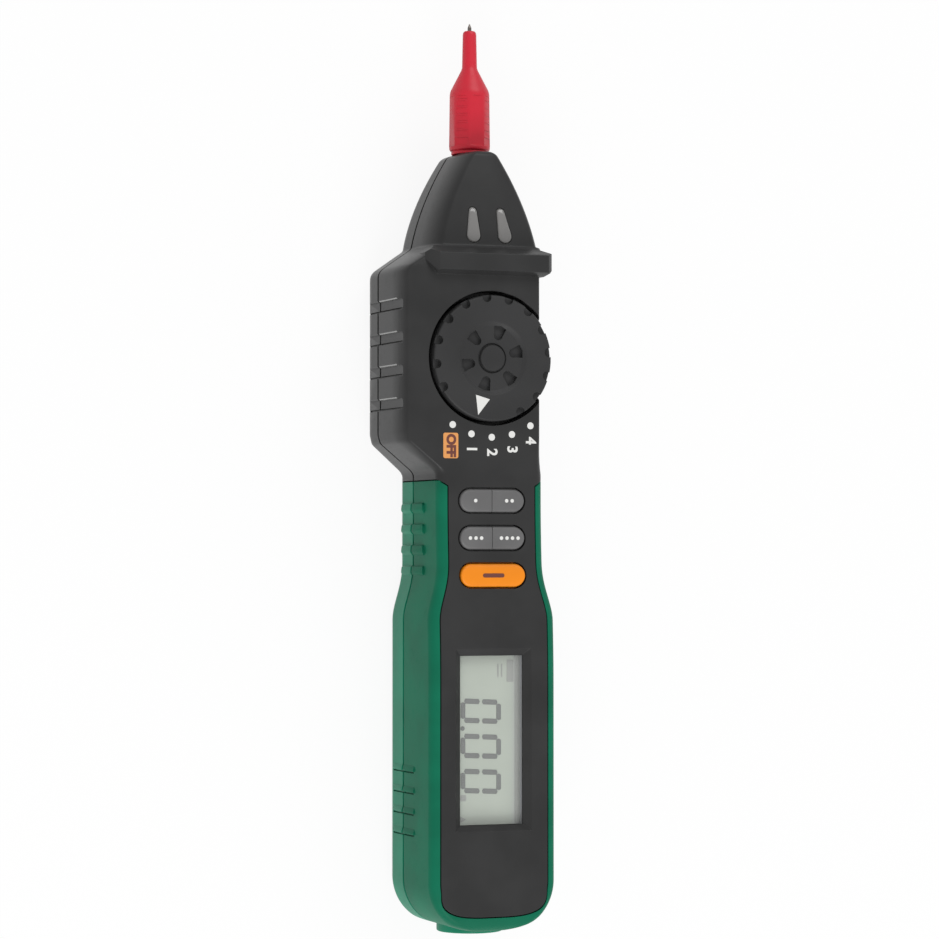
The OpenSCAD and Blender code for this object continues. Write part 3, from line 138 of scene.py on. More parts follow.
class Graph:
    """The node tree of a material or the world, with the calls that it needs."""

    def __init__(self, owner: bpy.types.Material | bpy.types.World, out: str = "OutputMaterial") -> None:
        """Empty the owner's tree and give it an output.

        Args:
            owner: The material or world.
            out: The output node's type without its ShaderNode prefix.
        """
        owner.use_nodes = True
        self.owner, self.tree = owner, owner.node_tree
        self.tree.nodes.clear()
        self.out = self.node(out)

    def node(
        self, kind: str, settings: dict[str, object] | None = None, inputs: dict[object, object] | None = None
    ) -> bpy.types.Node:
        """Add a shader node.

        Args:
            kind: The node's type without its ShaderNode prefix.
            settings: The node's own settings, set first.
            inputs: Values, sockets or numbers for the node's inputs, by name or index.

        Returns:
            The new node.
        """
        node = self.tree.nodes.new("ShaderNode" + kind)
        for key, setting in (settings or {}).items():
            setattr(node, key, setting)
        for key, given in (inputs or {}).items():
            self.feed(node.inputs[key], given)
        return node

    def value(
        self,
        kind: str,
        settings: dict[str, object] | None = None,
        inputs: dict[object, object] | None = None,
        output: int | str = 0,
    ) -> Value:
        """Add a shader node and wrap one of its outputs."""
        return Value(self, self.node(kind, settings, inputs).outputs[output])

    def feed(self, socket: bpy.types.NodeSocket, given: object) -> None:
        """Link or set an input.

        Args:
            socket: The input.
            given: A value or socket to link, or a number, colour or vector to set.
        """
        if isinstance(given, Value):
            self.tree.links.new(given.socket, socket)
        elif isinstance(given, bpy.types.NodeSocket):
            self.tree.links.new(given, socket)
        elif isinstance(given, tuple) and len(given) == 3 and len(socket.default_value) == 4:
            socket.default_value = (*given, 1.0)
        else:
            socket.default_value = given

    def place(self) -> bpy.types.NodeSocket:
        """The surface point in the row frame, in metres."""
        return self.node("TexCoord").outputs["Object"]

    def axis(self, name: str) -> Value:
        """One coordinate of the surface point, in millimetres."""
        return self.value("SeparateXYZ", None, {0: self.place()}, name) * (1 / MM)

    def noise(self, size_mm: float, detail: float = 2.0, stretch: Point3 = (1, 1, 1)) -> Value:
        """Soft noise.

        Args:
            size_mm: The size of its features, in millimetres.
            detail: How many finer layers it has.
            stretch: How far the features are drawn out along each axis.

        Returns:
            The noise, from nought to one.
        """
        scale = tuple(1 / (MM * size_mm * s) for s in stretch)
        point = self.node("VectorMath", {"operation": "MULTIPLY"}, {0: self.place(), 1: scale})
        inputs = {"Vector": point.outputs[0], "Scale": 1.0, "Detail": detail}
        return self.value("TexNoise", None, inputs, "Fac")

    def cells(self, size_mm: float) -> Value:
        """Distance to the nearest of scattered points with a spacing in millimetres."""
        inputs = {"Vector": self.place(), "Scale": 1 / (MM * size_mm)}
        return self.value("TexVoronoi", None, inputs, "Distance")

    def mix(self, share: object, first: object, second: object) -> bpy.types.NodeSocket:
        """Mix two colours by a share of the second."""
        return self.node("Mix", {"data_type": "RGBA"}, {0: share, 6: first, 7: second}).outputs[2]

    def edge(self, radius_mm: float) -> tuple[bpy.types.NodeSocket, Value]:
        """Round the sharp edges in the shading.

        Args:
            radius_mm: The radius of the rounding.

        Returns:
            The rounded normal, and a mask that is above nought along the edges.
        """
        normal = self.node("Bevel", {"samples": 6}, {"Radius": radius_mm * MM}).outputs[0]
        flat = self.node("NewGeometry").outputs["Normal"]
        dot = self.node("VectorMath", {"operation": "DOT_PRODUCT"}, {0: normal, 1: flat})
        return normal, 1.0 - Value(self, dot.outputs["Value"])

    def bump(self, height: Value, depth_mm: float, normal: object = None) -> bpy.types.NodeSocket:
        """A normal raised by a height between nought and one."""
        inputs = {"Height": height, "Strength": 1.0, "Distance": depth_mm * MM}
        return self.node("Bump", None, inputs | ({} if normal is None else {"Normal": normal})).outputs[0]

    def close(self, shader: bpy.types.Node) -> bpy.types.Material | bpy.types.World:
        """Link a shader to the output and give the owner."""
        self.tree.links.new(shader.outputs[0], self.out.inputs[0])
        return self.owner

    def finish(self, **inputs: object) -> bpy.types.Material:
        """Close the graph with a Principled shader; underscores stand for spaces in its inputs' names."""
        named = {key.replace("_", " "): given for key, given in inputs.items()}
        return self.close(self.node("BsdfPrincipled", None, named))


# ---- finishes ----


@dataclass(frozen=True)
class Finish:
    """A surface of one main colour. Each kind of finish adds its own material."""

    name: str
    colour: Colour

    def graph(self) -> Graph:
        """Start the finish's material."""
        return Graph(bpy.data.materials.new(self.name))

    def tone(self, share: float, lift: float = 0.0) -> Colour:
        """The colour times a share, plus a lift."""
        return tuple(min(1.0, c * share + lift) for c in self.colour)

    def material(self) -> bpy.types.Material:
        """Build the material."""
        raise NotImplementedError


@dataclass(frozen=True)
class Moulded(Finish):
    """Moulded plastic or rubber with a fine eroded texture, and edges made lighter by wear mixed with a painted
    highlight.
    """

    roughness: float = 0.46
    grain_mm: float = 0.22
    grain_depth: float = 0.006
    mottle: float = 0.08
    edge_mm: float = 0.22
    # Share of the lighter edge colour: partly wear, partly painted highlight.
    wear_highlight_share: float = 0.35
    specular: float = 0.5
    cloud_mm: float = 14.0
    dust_mm: float = 1.6
    wear_highlight_size_mm: float = 2.5

    def material(self) -> bpy.types.Material:
        """Build the material.

        Returns:
            The plastic, clouded, dusty and a little lighter along its edges, by wear and a painted highlight.
        """
        g = self.graph()
        normal, edge = g.edge(self.edge_mm)
        grain = g.noise(self.grain_mm, 3.0)
        cloud = g.noise(self.cloud_mm, 3.0)
        dust = g.noise(self.dust_mm, 4.0).between(0.55, 0.8)
        # Edge mask for the lighter colour: partly wear, partly a painted highlight.
        edge_wear_highlight = (edge.between(0.02, 0.3) * g.noise(self.wear_highlight_size_mm, 4.0).between(0.35, 0.7)) * self.wear_highlight_share
        base = g.mix(cloud.between(0.3, 0.7), self.tone(1 - self.mottle * 2), self.tone(1 + self.mottle))
        colour = g.mix(edge_wear_highlight, base, self.tone(1.35, 0.03))
        rough = (cloud - 0.5) * 0.1 + dust * 0.06 + (grain - 0.5) * 0.12 + self.roughness
        normal = g.bump(grain, self.grain_depth, normal)
        return g.finish(Base_Color=colour, Roughness=rough, Specular_IOR_Level=self.specular, Normal=normal)


@dataclass(frozen=True)
class Metal(Finish):
    """Bare or plated metal with fine turning or drawing marks."""

    roughness: float = 0.25
    marks: Point3 = (1, 1, 1)
    mark_mm: float = 0.3
    depth: float = 0.004
    edge_mm: float = 0.08
    haze_mm: float = 4.0

    def material(self) -> bpy.types.Material:
        """Build the material.

        Returns:
            The metal, with a faint haze.
        """
        g = self.graph()
        normal, edge = g.edge(self.edge_mm)
        lines = g.noise(self.mark_mm, 3.0, self.marks)
        haze = g.noise(self.haze_mm, 3.0).between(0.35, 0.75)
        return g.finish(
            Base_Color=g.mix(haze * 0.25 + edge * 0.2, self.colour, self.tone(0.75)),
            Metallic=1.0,
            Roughness=haze * 0.12 + (lines - 0.5) * 0.1 + self.roughness,
            Normal=g.bump(lines, self.depth, normal),
        )


@dataclass(frozen=True)
class Clear(Finish):
    """Clear or tinted plastic."""

    alpha: float = 0.15
    roughness: float = 0.08
    ripple_mm: float = 0.0
    haze_mm: float = 6.0
    coat: float = 0.6

    def material(self) -> bpy.types.Material:
        """Build the material.

        Returns:
            The plastic, see-through by its alpha.
        """
        g = self.graph()
        haze = g.noise(self.haze_mm, 3.0)
        wave = g.noise(max(self.ripple_mm, 3.0), 2.0)
        return g.finish(
            Base_Color=g.mix(haze.between(0.3, 0.8), self.colour, self.tone(0.9)),
            Roughness=haze * 0.06 + self.roughness,
            Alpha=self.alpha,
            Coat_Weight=self.coat,
            Normal=g.bump(wave, 0.01 if self.ripple_mm else 0.002),
        )


@dataclass(frozen=True)
class Printed(Finish):
    """Screen-printed ink with a slightly uneven film."""

    roughness: float = 0.5
    grain_mm: float = 0.25
    thin_mm: float = 1.1

    def material(self) -> bpy.types.Material:
        """Build the material.

        Returns:
            The ink, thinner in places.
        """
        g = self.graph()
        grain = g.noise(self.grain_mm, 3.0)
        thin = g.noise(self.thin_mm, 3.0).between(0.55, 0.85)
        tint = g.mix(thin * 0.18, self.colour, self.tone(0.75))
        return g.finish(Base_Color=tint, Roughness=grain * 0.15 + self.roughness, Normal=g.bump(grain, 0.004))


@dataclass(frozen=True)
class PanelFilm(Finish):
    """The display's reflective film behind its polariser, with painted shade that darkens it and turns it bluer
    towards its right side.
    """

    painted_shade_tint: Colour = (0.30, 0.29, 0.36)
    painted_shade_x: Point2 = (4.6, 8.2)
    grain_mm: float = 0.12
    cloud_mm: float = 12.0

    def material(self) -> bpy.types.Material:
        """Build the material.

        Returns:
            The film.
        """
        g = self.graph()
        grain = g.noise(self.grain_mm)
        cloud = g.noise(self.cloud_mm)
        # Painted shade: the film darkens and turns bluer towards its right side.
        painted_shade_film = g.mix(g.axis("X").between(*self.painted_shade_x) * 0.75, self.colour, self.painted_shade_tint)
        tint = g.mix(cloud.between(0.3, 0.8) * 0.3, painted_shade_film, self.tone(0.9))
        return g.finish(Base_Color=tint, Roughness=grain * 0.1 + 0.5, Normal=g.bump(grain, 0.002))


@dataclass(frozen=True)
class Laminate(Finish):
    """A circuit board under its solder mask, with tracks and pads."""

    tin: Colour = (0.62, 0.6, 0.55)
    weave_mm: float = 0.4
    track_mm: float = 1.6
    track_gap: float = 0.06
    pad_mm: float = 2.6

    def material(self) -> bpy.types.Material:
        """Build the material.

        Returns:
            The laminate.
        """
        g = self.graph()
        weave = g.noise(self.weave_mm, stretch=(4, 1, 1))
        bricks = {"Vector": g.place(), "Scale": 1 / (MM * self.track_mm)}
        bricks |= {"Mortar Size": self.track_gap, "Row Height": 0.5}
        raised = g.value("TexBrick", {"offset": 0.5, "squash": 1.0}, bricks, "Fac")
        pads = (g.cells(self.pad_mm) * -1.0 + 1.0).between(0.82, 0.86)
        green = g.mix(raised * 0.5, self.colour, self.tone(1.5))
        return g.finish(
            Base_Color=g.mix(pads, green, self.tin),
            Metallic=pads * 0.8,
            Roughness=weave * 0.1 + 0.35,
            Normal=g.bump(raised * 0.5 + weave * 0.2, 0.02),
        )


@dataclass(frozen=True)
class CellWrap(Finish):
    """The shrink sleeve of a dry cell, with a plain coloured band and metal ends."""

    band: Colour
    top_mm: float
    low_mm: float
    bare: Colour = (0.7, 0.7, 0.72)
    band_from: float = 0.68
    bare_ends: Point2 = (0.012, 0.982)
    scuff_mm: float = 1.8

    def material(self) -> bpy.types.Material:
        """Build the material.

        Returns:
            The sleeve, with its band towards the top and both ends bare.
        """
        g = self.graph()
        y = g.axis("Y")
        scuff = g.noise(self.scuff_mm, 4.0)
        share = (y - self.low_mm) / (self.top_mm - self.low_mm)
        banded = g.mix(share.above(self.band_from), self.colour, self.band)
        ends = share.above(self.bare_ends[1]) + (1.0 - share.above(self.bare_ends[0]))
        return g.finish(
            Base_Color=g.mix(ends, banded, self.bare),
            Metallic=ends,
            Roughness=scuff * 0.2 + 0.22,
            Normal=g.bump(scuff, 0.01),
        )


@dataclass(frozen=True)
class Paper(Finish):
    """The floor: pale, and nearly white to the eye, in reflections and through glass."""

    lift: float
    roughness: float = 0.9

    def material(self) -> bpy.types.Material:
        """Build the material.

        Returns:
            The floor's pale surface, mixed with an even glow for the rays that show it.
        """
        g = self.graph()
        path = g.node("LightPath")
        seen, mirrored, through = (Value(g, path.outputs[kind]) for kind in SEEN_RAYS)
        shown = (seen + mirrored + through) * self.lift
        shader = g.node("BsdfPrincipled", None, {"Base Color": self.colour, "Roughness": self.roughness})
        glow = g.node("Emission", None, {"Color": (1.0, 1.0, 1.0), "Strength": 1.0})
        return g.close(g.node("MixShader", None, {0: shown, 1: shader.outputs[0], 2: glow.outputs[0]}))


class Finishes:
    """Every finish of the meter, each made once."""

    BLACK = Moulded("satin black housing", (0.03, 0.03, 0.0302), 0.34, specular=0.16)
    REAR_BLACK = Moulded("rear black housing", (0.03, 0.03, 0.03), 0.34, specular=0.2)
    # Lighter than the housing black: a painted glint for the grooves' upper edges, on a glossy finish.
    POLISHED_GLINT = Moulded("polished black edge with painted glint", (0.16, 0.16, 0.155), 0.12, grain_depth=0.001, specular=1.0)
    GREEN = Moulded("green grip", (0.004, 0.14, 0.075), 0.5, grain_depth=0.004, wear_highlight_share=0.2, specular=0.1)
    # The same green plastic as the front grip, painted lighter as sheen from the white surroundings.
    GREEN_REAR_SHEEN = Moulded(
        "green rear grip painted sheen", (0.01, 0.22, 0.124), 0.45, grain_depth=0.004, wear_highlight_share=0.2, specular=0.16
    )
    DIAL = Moulded("dial black", (0.03, 0.03, 0.0305), 0.5, grain_depth=0.008, edge_mm=0.18, specular=0.2)
    GREY = Moulded("key grey", (0.108, 0.107, 0.108), 0.5, edge_mm=0.2, wear_highlight_share=0.25)
    ORANGE = Moulded(
        "key orange", (0.84, 0.245, 0.005), 0.45, mottle=0.03, edge_mm=0.2, wear_highlight_share=0.1, specular=0.3
    )
    RED = Moulded(
        "sleeve red", (0.58, 0.011, 0.03), 0.4, grain_depth=0.004, mottle=0.05, wear_highlight_share=0.12, specular=0.35
    )
    IVORY = Moulded("insulator ivory", (0.72, 0.69, 0.6), 0.4, wear_highlight_share=0.1)
    CHIP = Moulded("moulded epoxy", (0.02, 0.02, 0.021), 0.6, grain_mm=0.1)
    CERAMIC = Moulded("component body", (0.5, 0.4, 0.27), 0.5, grain_mm=0.1)
    MAT = Moulded("keypad rubber", (0.11, 0.11, 0.12), 0.65, wear_highlight_share=0.05)
    STRIP = Moulded("contact strip rubber", (0.55, 0.3, 0.33), 0.6, grain_mm=0.1)
    # Far darker than bare steel: a painted dark reflection on the probe's tip.
    STEEL_PAINTED_DARK = Metal("probe steel painted dark reflection", (0.13, 0.115, 0.105), 0.2, marks=(1, 6, 1))
    ZINC = Metal("plated steel", (0.6, 0.6, 0.61), 0.3)
    BRASS = Metal("contact brass", (0.78, 0.6, 0.3), 0.28, marks=(4, 1, 1))
    WINDOW = Clear("display window", (0.9, 0.93, 0.92), alpha=0.07)
    LENS = Clear("smoked lens", (0.19, 0.185, 0.18), alpha=0.9, roughness=0.16, ripple_mm=1.2)
    LAMP_RED = Clear("red lamp", (0.6, 0.03, 0.03), alpha=0.9)
    LAMP_GREEN = Clear("green lamp", (0.35, 0.6, 0.25), alpha=0.9)
    GLASS = Clear("fuse glass", (0.85, 0.9, 0.9), alpha=0.5)
    WHITE_INK = Printed("white ink", (0.72, 0.72, 0.7))
    ORANGE_INK = Printed("orange ink", (0.7, 0.3, 0.085))
    DARK_INK = Printed("dark ink", (0.12, 0.03, 0.02))
    SEGMENT = Printed("display segment", (0.1, 0.105, 0.1), roughness=0.4)
    FAINT = Printed("display mark", (0.27, 0.28, 0.26), roughness=0.4)
    PANEL = PanelFilm("display film", (0.4, 0.442, 0.378))
    BOARD = Laminate("board laminate", (0.02, 0.13, 0.06))
    CELL_LEFT = CellWrap("left cell", (0.03, 0.05, 0.17), (0.65, 0.62, 0.55), -6.9, -51.4)
    CELL_RIGHT = CellWrap("right cell", (0.65, 0.62, 0.55), (0.03, 0.05, 0.17), -11.1, -55.6)
    FLOOR = Paper("pale floor", (0.86, 0.86, 0.86), 0.9)

    _made: dict[str, bpy.types.Material] = {}

    @classmethod
    def get(cls, finish: Finish) -> bpy.types.Material:
        """Find or build a finish's material.

        Args:
            finish: The finish.

        Returns:
            Its material, built the first time.
        """
        if finish.name not in cls._made:
            cls._made[finish.name] = finish.material()
        return cls._made[finish.name]


# ---- mesh code ----


def ease(t: float) -> float:
    """Smooth step from nought to one."""
    c = min(1.0, max(0.0, t))
    return c * c * (3 - 2 * c)


def mix(a: float, b: float, t: float) -> float:
    """Number between a and b."""
    return a + (b - a) * t


def lookup(x: float, table: Outline) -> float:
    """Straight interpolation in a table.

    Args:
        x: The position asked for.
        table: Rising positions with their numbers.

    Returns:
        The number at x, held beyond both ends.
    """
    if x <= table[0][0]:
        return table[0][1]
    for (x0, v0), (x1, v1) in zip(table, table[1:]):
        if x <= x1:
            return mix(v0, v1, (x - x0) / (x1 - x0))
    return table[-1][1]


def soften(table: Outline, x: float, width: float, steps: int = 8) -> float:
    """Average of a table over a width round x, which rounds its kinks."""
    return sum(lookup(x + width * (i / steps - 0.5), table) for i in range(steps + 1)) / (steps + 1)


def fall(depth: float, radius: float) -> float:
    """Inset of a rounded end at a depth from it."""
    near = max(0.0, radius - depth)
    return radius - math.sqrt(max(0.0, radius * radius - near**2))


def arc(cx: float, cy: float, r: float, a0: float, a1: float, steps: int = 12) -> list[Point2]:
    """Points of an arc, angles in degrees."""
    turn = [math.radians(mix(a0, a1, i / steps)) for i in range(steps + 1)]
    return [(cx + r * math.cos(a), cy + r * math.sin(a)) for a in turn]


def disc(cx: float, cy: float, r: float, steps: int = 72) -> list[Point2]:
    """Outline of a circle."""
    return arc(cx, cy, r, 0, 360, steps)[:-1]


def pill(cx: float, cy: float, hw: float, hl: float, steps: int = 24) -> list[Point2]:
    """Outline with two round ends."""
    return arc(cx + hw - hl, cy, hl, -90, 90, steps) + arc(cx - hw + hl, cy, hl, 90, 270, steps)


def rounded(x0: float, x1: float, y0: float, y1: float, r: float, steps: int = 6) -> list[Point2]:
    """Outline of a box with round corners."""
    turns = ((x1 - r, y0 + r, -90), (x1 - r, y1 - r, 0), (x0 + r, y1 - r, 90), (x0 + r, y0 + r, 180))
    return [point for cx, cy, a in turns for point in arc(cx, cy, r, a, a + 90, steps)]


def box_outline(x0: float, x1: float, y0: float, y1: float) -> list[Point2]:
    """Outline of a plain box."""
    return [(x0, y0), (x1, y0), (x1, y1), (x0, y1)]


def tear(low_r: float, top_r: float, length: float, wider: float = 0.0) -> list[Point2]:
    """Tear-drop outline with its wide end at the origin and its narrow end up."""
    a = math.degrees(math.asin((low_r - top_r) / length))
    return arc(0, length, top_r + wider, a, 180 - a, 16) + arc(0, 0, low_r + wider, 180 - a, 360 + a, 28)


def turned_outline(outline: Outline, x: float, y: float, angle: float = 0.0) -> list[Point2]:
    """An outline turned by an angle in degrees and moved."""
    c, s = math.cos(math.radians(angle)), math.sin(math.radians(angle))
    return [(x + u * c - v * s, y + u * s + v * c) for u, v in outline]


def link(name: str, data: bpy.types.ID) -> bpy.types.Object:
    """Put data into the scene.

    Args:
        name: The new object's name.
        data: The mesh, curve, lamp or camera that it holds.

    Returns:
        The object.
    """
    made = bpy.data.objects.new(name, data)
    bpy.context.scene.collection.objects.link(made)
    return made


def solid(name: str, points: Sequence[Point3], faces: Sequence[Sequence[int]]) -> bpy.types.Object:
    """A mesh object with its normals outward.

    Args:
        name: The object's name.
        points: Its corners, in millimetres.
        faces: The corners of each face, by index.

    Returns:
        The object.
    """
    mesh = bpy.data.meshes.new(name)
    mesh.from_pydata([tuple(c * MM for c in p) for p in points], [], [tuple(f) for f in faces])
    mesh.validate()
    spots = [v.co for v in mesh.vertices]
    volume = sum(
        spots[f.vertices[0]].dot(spots[f.vertices[i]].cross(spots[f.vertices[i + 1]]))
        for f in mesh.polygons
        for i in range(1, len(f.vertices) - 1)
    )
    if volume < 0:
        mesh.flip_normals()
    return link(name, mesh)


def rings(name: str, loops: Sequence[Sequence[Point3]], hollow: bool = False) -> bpy.types.Object:
    """A closed solid through rings of equal counts of points.

    Args:
        name: The object's name.
        loops: The rings in order.
        hollow: Join the last ring to the first, which leaves a bore, where otherwise both ends are capped.

    Returns:
        The solid.
    """
    n, count = len(loops[0]), len(loops)
    faces: list[list[int]] = [] if hollow else [list(range(n))[::-1]]
    for i in range(count if hollow else count - 1):
        after = (i + 1) % count * n
        faces += [[i * n + j, i * n + (j + 1) % n, after + (j + 1) % n, after + j] for j in range(n)]
    if not hollow:
        faces.append([(count - 1) * n + j for j in range(n)])
    return solid(name, [p for loop in loops for p in loop], faces)


def prism(name: str, outline: Outline, low: float, high: float, along: Along = Along.Z) -> bpy.types.Object:
    """An outline drawn out along a row axis, in millimetres."""
    return rings(name, [[along.place(u, v, w) for u, v in outline] for w in (low, high)])


def film(name: str, outlines: Sequence[Outline], low: float, high: float) -> bpy.types.Object:
    """A thin print made of flat marks.

    Args:
        name: The object's name.
        outlines: The outline of each mark.
        low: The underside's height, in millimetres.
        high: The top's height.

    Returns:
        The print, as one object.
    """
    points: list[Point3] = []
    faces: list[list[int]] = []
    for outline in outlines:
        base, n = len(points), len(outline)
        points += [(u, v, z) for z in (low, high) for u, v in outline]
        faces += [[base + i for i in reversed(range(n))], [base + n + i for i in range(n)]]
        faces += [[base + i, base + (i + 1) % n, base + n + (i + 1) % n, base + n + i] for i in range(n)]
    return solid(name, points, faces)


def turned(
    name: str,
    rows: Outline,
    centre: Point3 = (0, 0, 0),
    along: Along = Along.Z,
    steps: int = 96,
    hollow: bool = False,
) -> bpy.types.Object:
    """A solid of revolution.

    Args:
        name: The object's name.
        rows: Radius and height of each ring, in order; every radius is above nought.
        centre: The axis's foot, in millimetres.
        along: The axis's direction.
        steps: Sides of each ring.
        hollow: The rows go round a bore and back to the first.

    Returns:
        The closed solid.
    """
    loops = []
    for r, h in rows:
        turn = [2 * math.pi * i / steps for i in range(steps)]
        spots = [along.place(r * math.cos(a), r * math.sin(a), h) for a in turn]
        loops.append([tuple(c + p for c, p in zip(centre, spot)) for spot in spots])
    return rings(name, loops, hollow)


def evaluated(piece: bpy.types.Object) -> bpy.types.Mesh:
    """Carry out an object's modifiers, or turn its curve into faces.

    Args:
        piece: The object, which stays as it is.

    Returns:
        The new mesh.
    """
    graph = bpy.context.evaluated_depsgraph_get()
    graph.update()
    return bpy.data.meshes.new_from_object(piece.evaluated_get(graph))


def settle(piece: bpy.types.Object) -> bpy.types.Object:
    """Carry out a piece's modifiers for good.

    Args:
        piece: The piece.

    Returns:
        The piece with its new mesh.
    """
    mesh = evaluated(piece)
    piece.modifiers.clear()
    old, piece.data = piece.data, mesh
    bpy.data.meshes.remove(old)
    return piece


def carve(
    target: bpy.types.Object, tools: Sequence[bpy.types.Object], how: Carving = Carving.CUT
) -> bpy.types.Object:
    """Change a solid by others, which are used up.

    Args:
        target: The solid that is kept.
        tools: The solids that cut it, join it or bound it.
        how: What they do to it.

    Returns:
        The changed solid.
    """
    for tool in tools:
        change = target.modifiers.new("carve", "BOOLEAN")
        change.operation, change.object, change.solver = how.value, tool, "MANIFOLD"
    settle(target)
    for tool in tools:
        bpy.data.meshes.remove(tool.data)
    return target


def soft_edges(piece: bpy.types.Object, width: float) -> bpy.types.Object:
    """Round a solid's sharp edges.

    Args:
        piece: The solid.
        width: The width of the rounding, in millimetres.

    Returns:
        The rounded solid.
    """
    facets, least_angle = 3, 20
    change = piece.modifiers.new("round", "BEVEL")
    change.width, change.segments, change.limit_method = width * MM, facets, "ANGLE"
    change.angle_limit = math.radians(least_angle)
    return settle(piece)


def shade(piece: bpy.types.Object, angle: float) -> bpy.types.Object:
    """Shade a piece smooth, apart from its sharp edges.

    Args:
        piece: The piece.
        angle: The angle in degrees above which an edge is sharp.

    Returns:
        The same piece.
    """
    piece.data.shade_smooth()
    piece.data.set_sharp_from_angle(angle=math.radians(angle))
    return piece


def follow(piece: bpy.types.Object, form: bpy.types.Mesh) -> bpy.types.Object:
    """Give the faces of a shaded piece that lie on a smooth form the form's normals.

    Args:
        piece: The piece.
        form: The smooth form.

    Returns:
        The piece.
    """
    near, facing_least, corner_least = 0.03 * MM, 0.85, 0.6
    mesh = piece.data
    tree = BVHTree.FromPolygons([v.co for v in form.vertices], [tuple(p.vertices) for p in form.polygons])
    ends = [v.normal for v in form.vertices]
    normals = [Vector(n.vector) for n in mesh.corner_normals]
    seen: dict[int, Vector] = {}
    for face in mesh.polygons:
        spot, facing, _, distance = tree.find_nearest(face.center)
        if spot is None or distance > near or facing.dot(face.normal) < facing_least:
            continue
        for corner in face.loop_indices:
            at = mesh.loops[corner].vertex_index
            if at not in seen:
                spot, _, index, _ = tree.find_nearest(mesh.vertices[at].co)
                around = form.polygons[index].vertices
                weights = [1 / (1e-9 + (form.vertices[v].co - spot).length) for v in around]
                seen[at] = sum((ends[v] * w for v, w in zip(around, weights)), Vector()).normalized()
            if seen[at].dot(face.normal) > corner_least:
                normals[corner] = seen[at]
    mesh.normals_split_custom_set(normals)
    return piece


def dress(
    piece: bpy.types.Object, finish: Finish, body: str, slot: str, nodes: Sequence[str] = ()
) -> bpy.types.Object:
    """Give a new piece its finish and its place in the frame.

    Args:
        piece: The piece.
        finish: Its finish.
        body: The body that it rides on.
        slot: Not used.
        nodes: The CAD nodes that it stands for.

    Returns:
        The piece.
    """
    piece.data.materials.clear()
    piece.data.materials.append(Finishes.get(finish))
    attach(piece, body)
    if nodes:
        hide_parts(*nodes)
    LOG.info("%s: %d faces, on %s", piece.name, len(piece.data.polygons), body)
    return piece


def refinish(**finishes: Finish) -> None:
    """Give CAD nodes that stay better materials.

    Args:
        **finishes: The finish of each node.
    """
    for node, finish in finishes.items():
        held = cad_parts[node]
        if not held.material_slots:
            held.data.materials.append(None)
        for spot in held.material_slots:
            spot.material = Finishes.get(finish)
        LOG.info("%s: kept, in %s", node, finish.name)


# ---- the housing ----


@dataclass(frozen=True)
class Relief:
    """A raised pad or rib, as offsets from the flank's reach and from its own middle."""

    name: str
    outline: tuple[Point2, ...]
    span: Point2
    corner: float
    soft: float

    def build(self, side: int, reach: float, y: float, low: float, high: float) -> bpy.types.Object:
        """Make one pad or rib.

        Args:
            side: -1 for the left flank and 1 for the right.
            reach: The flank's reach.
            y: Its middle along Y.
            low: Its lowest height.
            high: Its highest height.

        Returns:
            The pad or rib, with soft edges.
        """
        made = prism(self.name, [(side * (reach + x), y + v) for x, v in self.outline], low, high)
        ends = rounded(y + self.span[0], y + self.span[1], low, high, self.corner)
        around = prism("around", ends, -ASIDE, ASIDE, Along.X)
        return soft_edges(carve(made, [around], Carving.KEEP), self.soft)


PAD_OUTLINE = ((-1, -1.2), (-1, 1.2), (0.2, 1.2), (0.5, 0.95), (0.6, -0.3), (0.5, -0.6), (0.02, -1.2))
PAD = Relief("pad", PAD_OUTLINE, (-1.2, 1.2), 0.8, 0.16)
RIB_OUTLINE = ((-1, -0.45), (-1, 0.85), (0.05, 0.85), (0.33, -0.05), (0.3, -0.45))
RIB = Relief("rib", RIB_OUTLINE, (-0.46, 0.86), 0.5, 0.14)


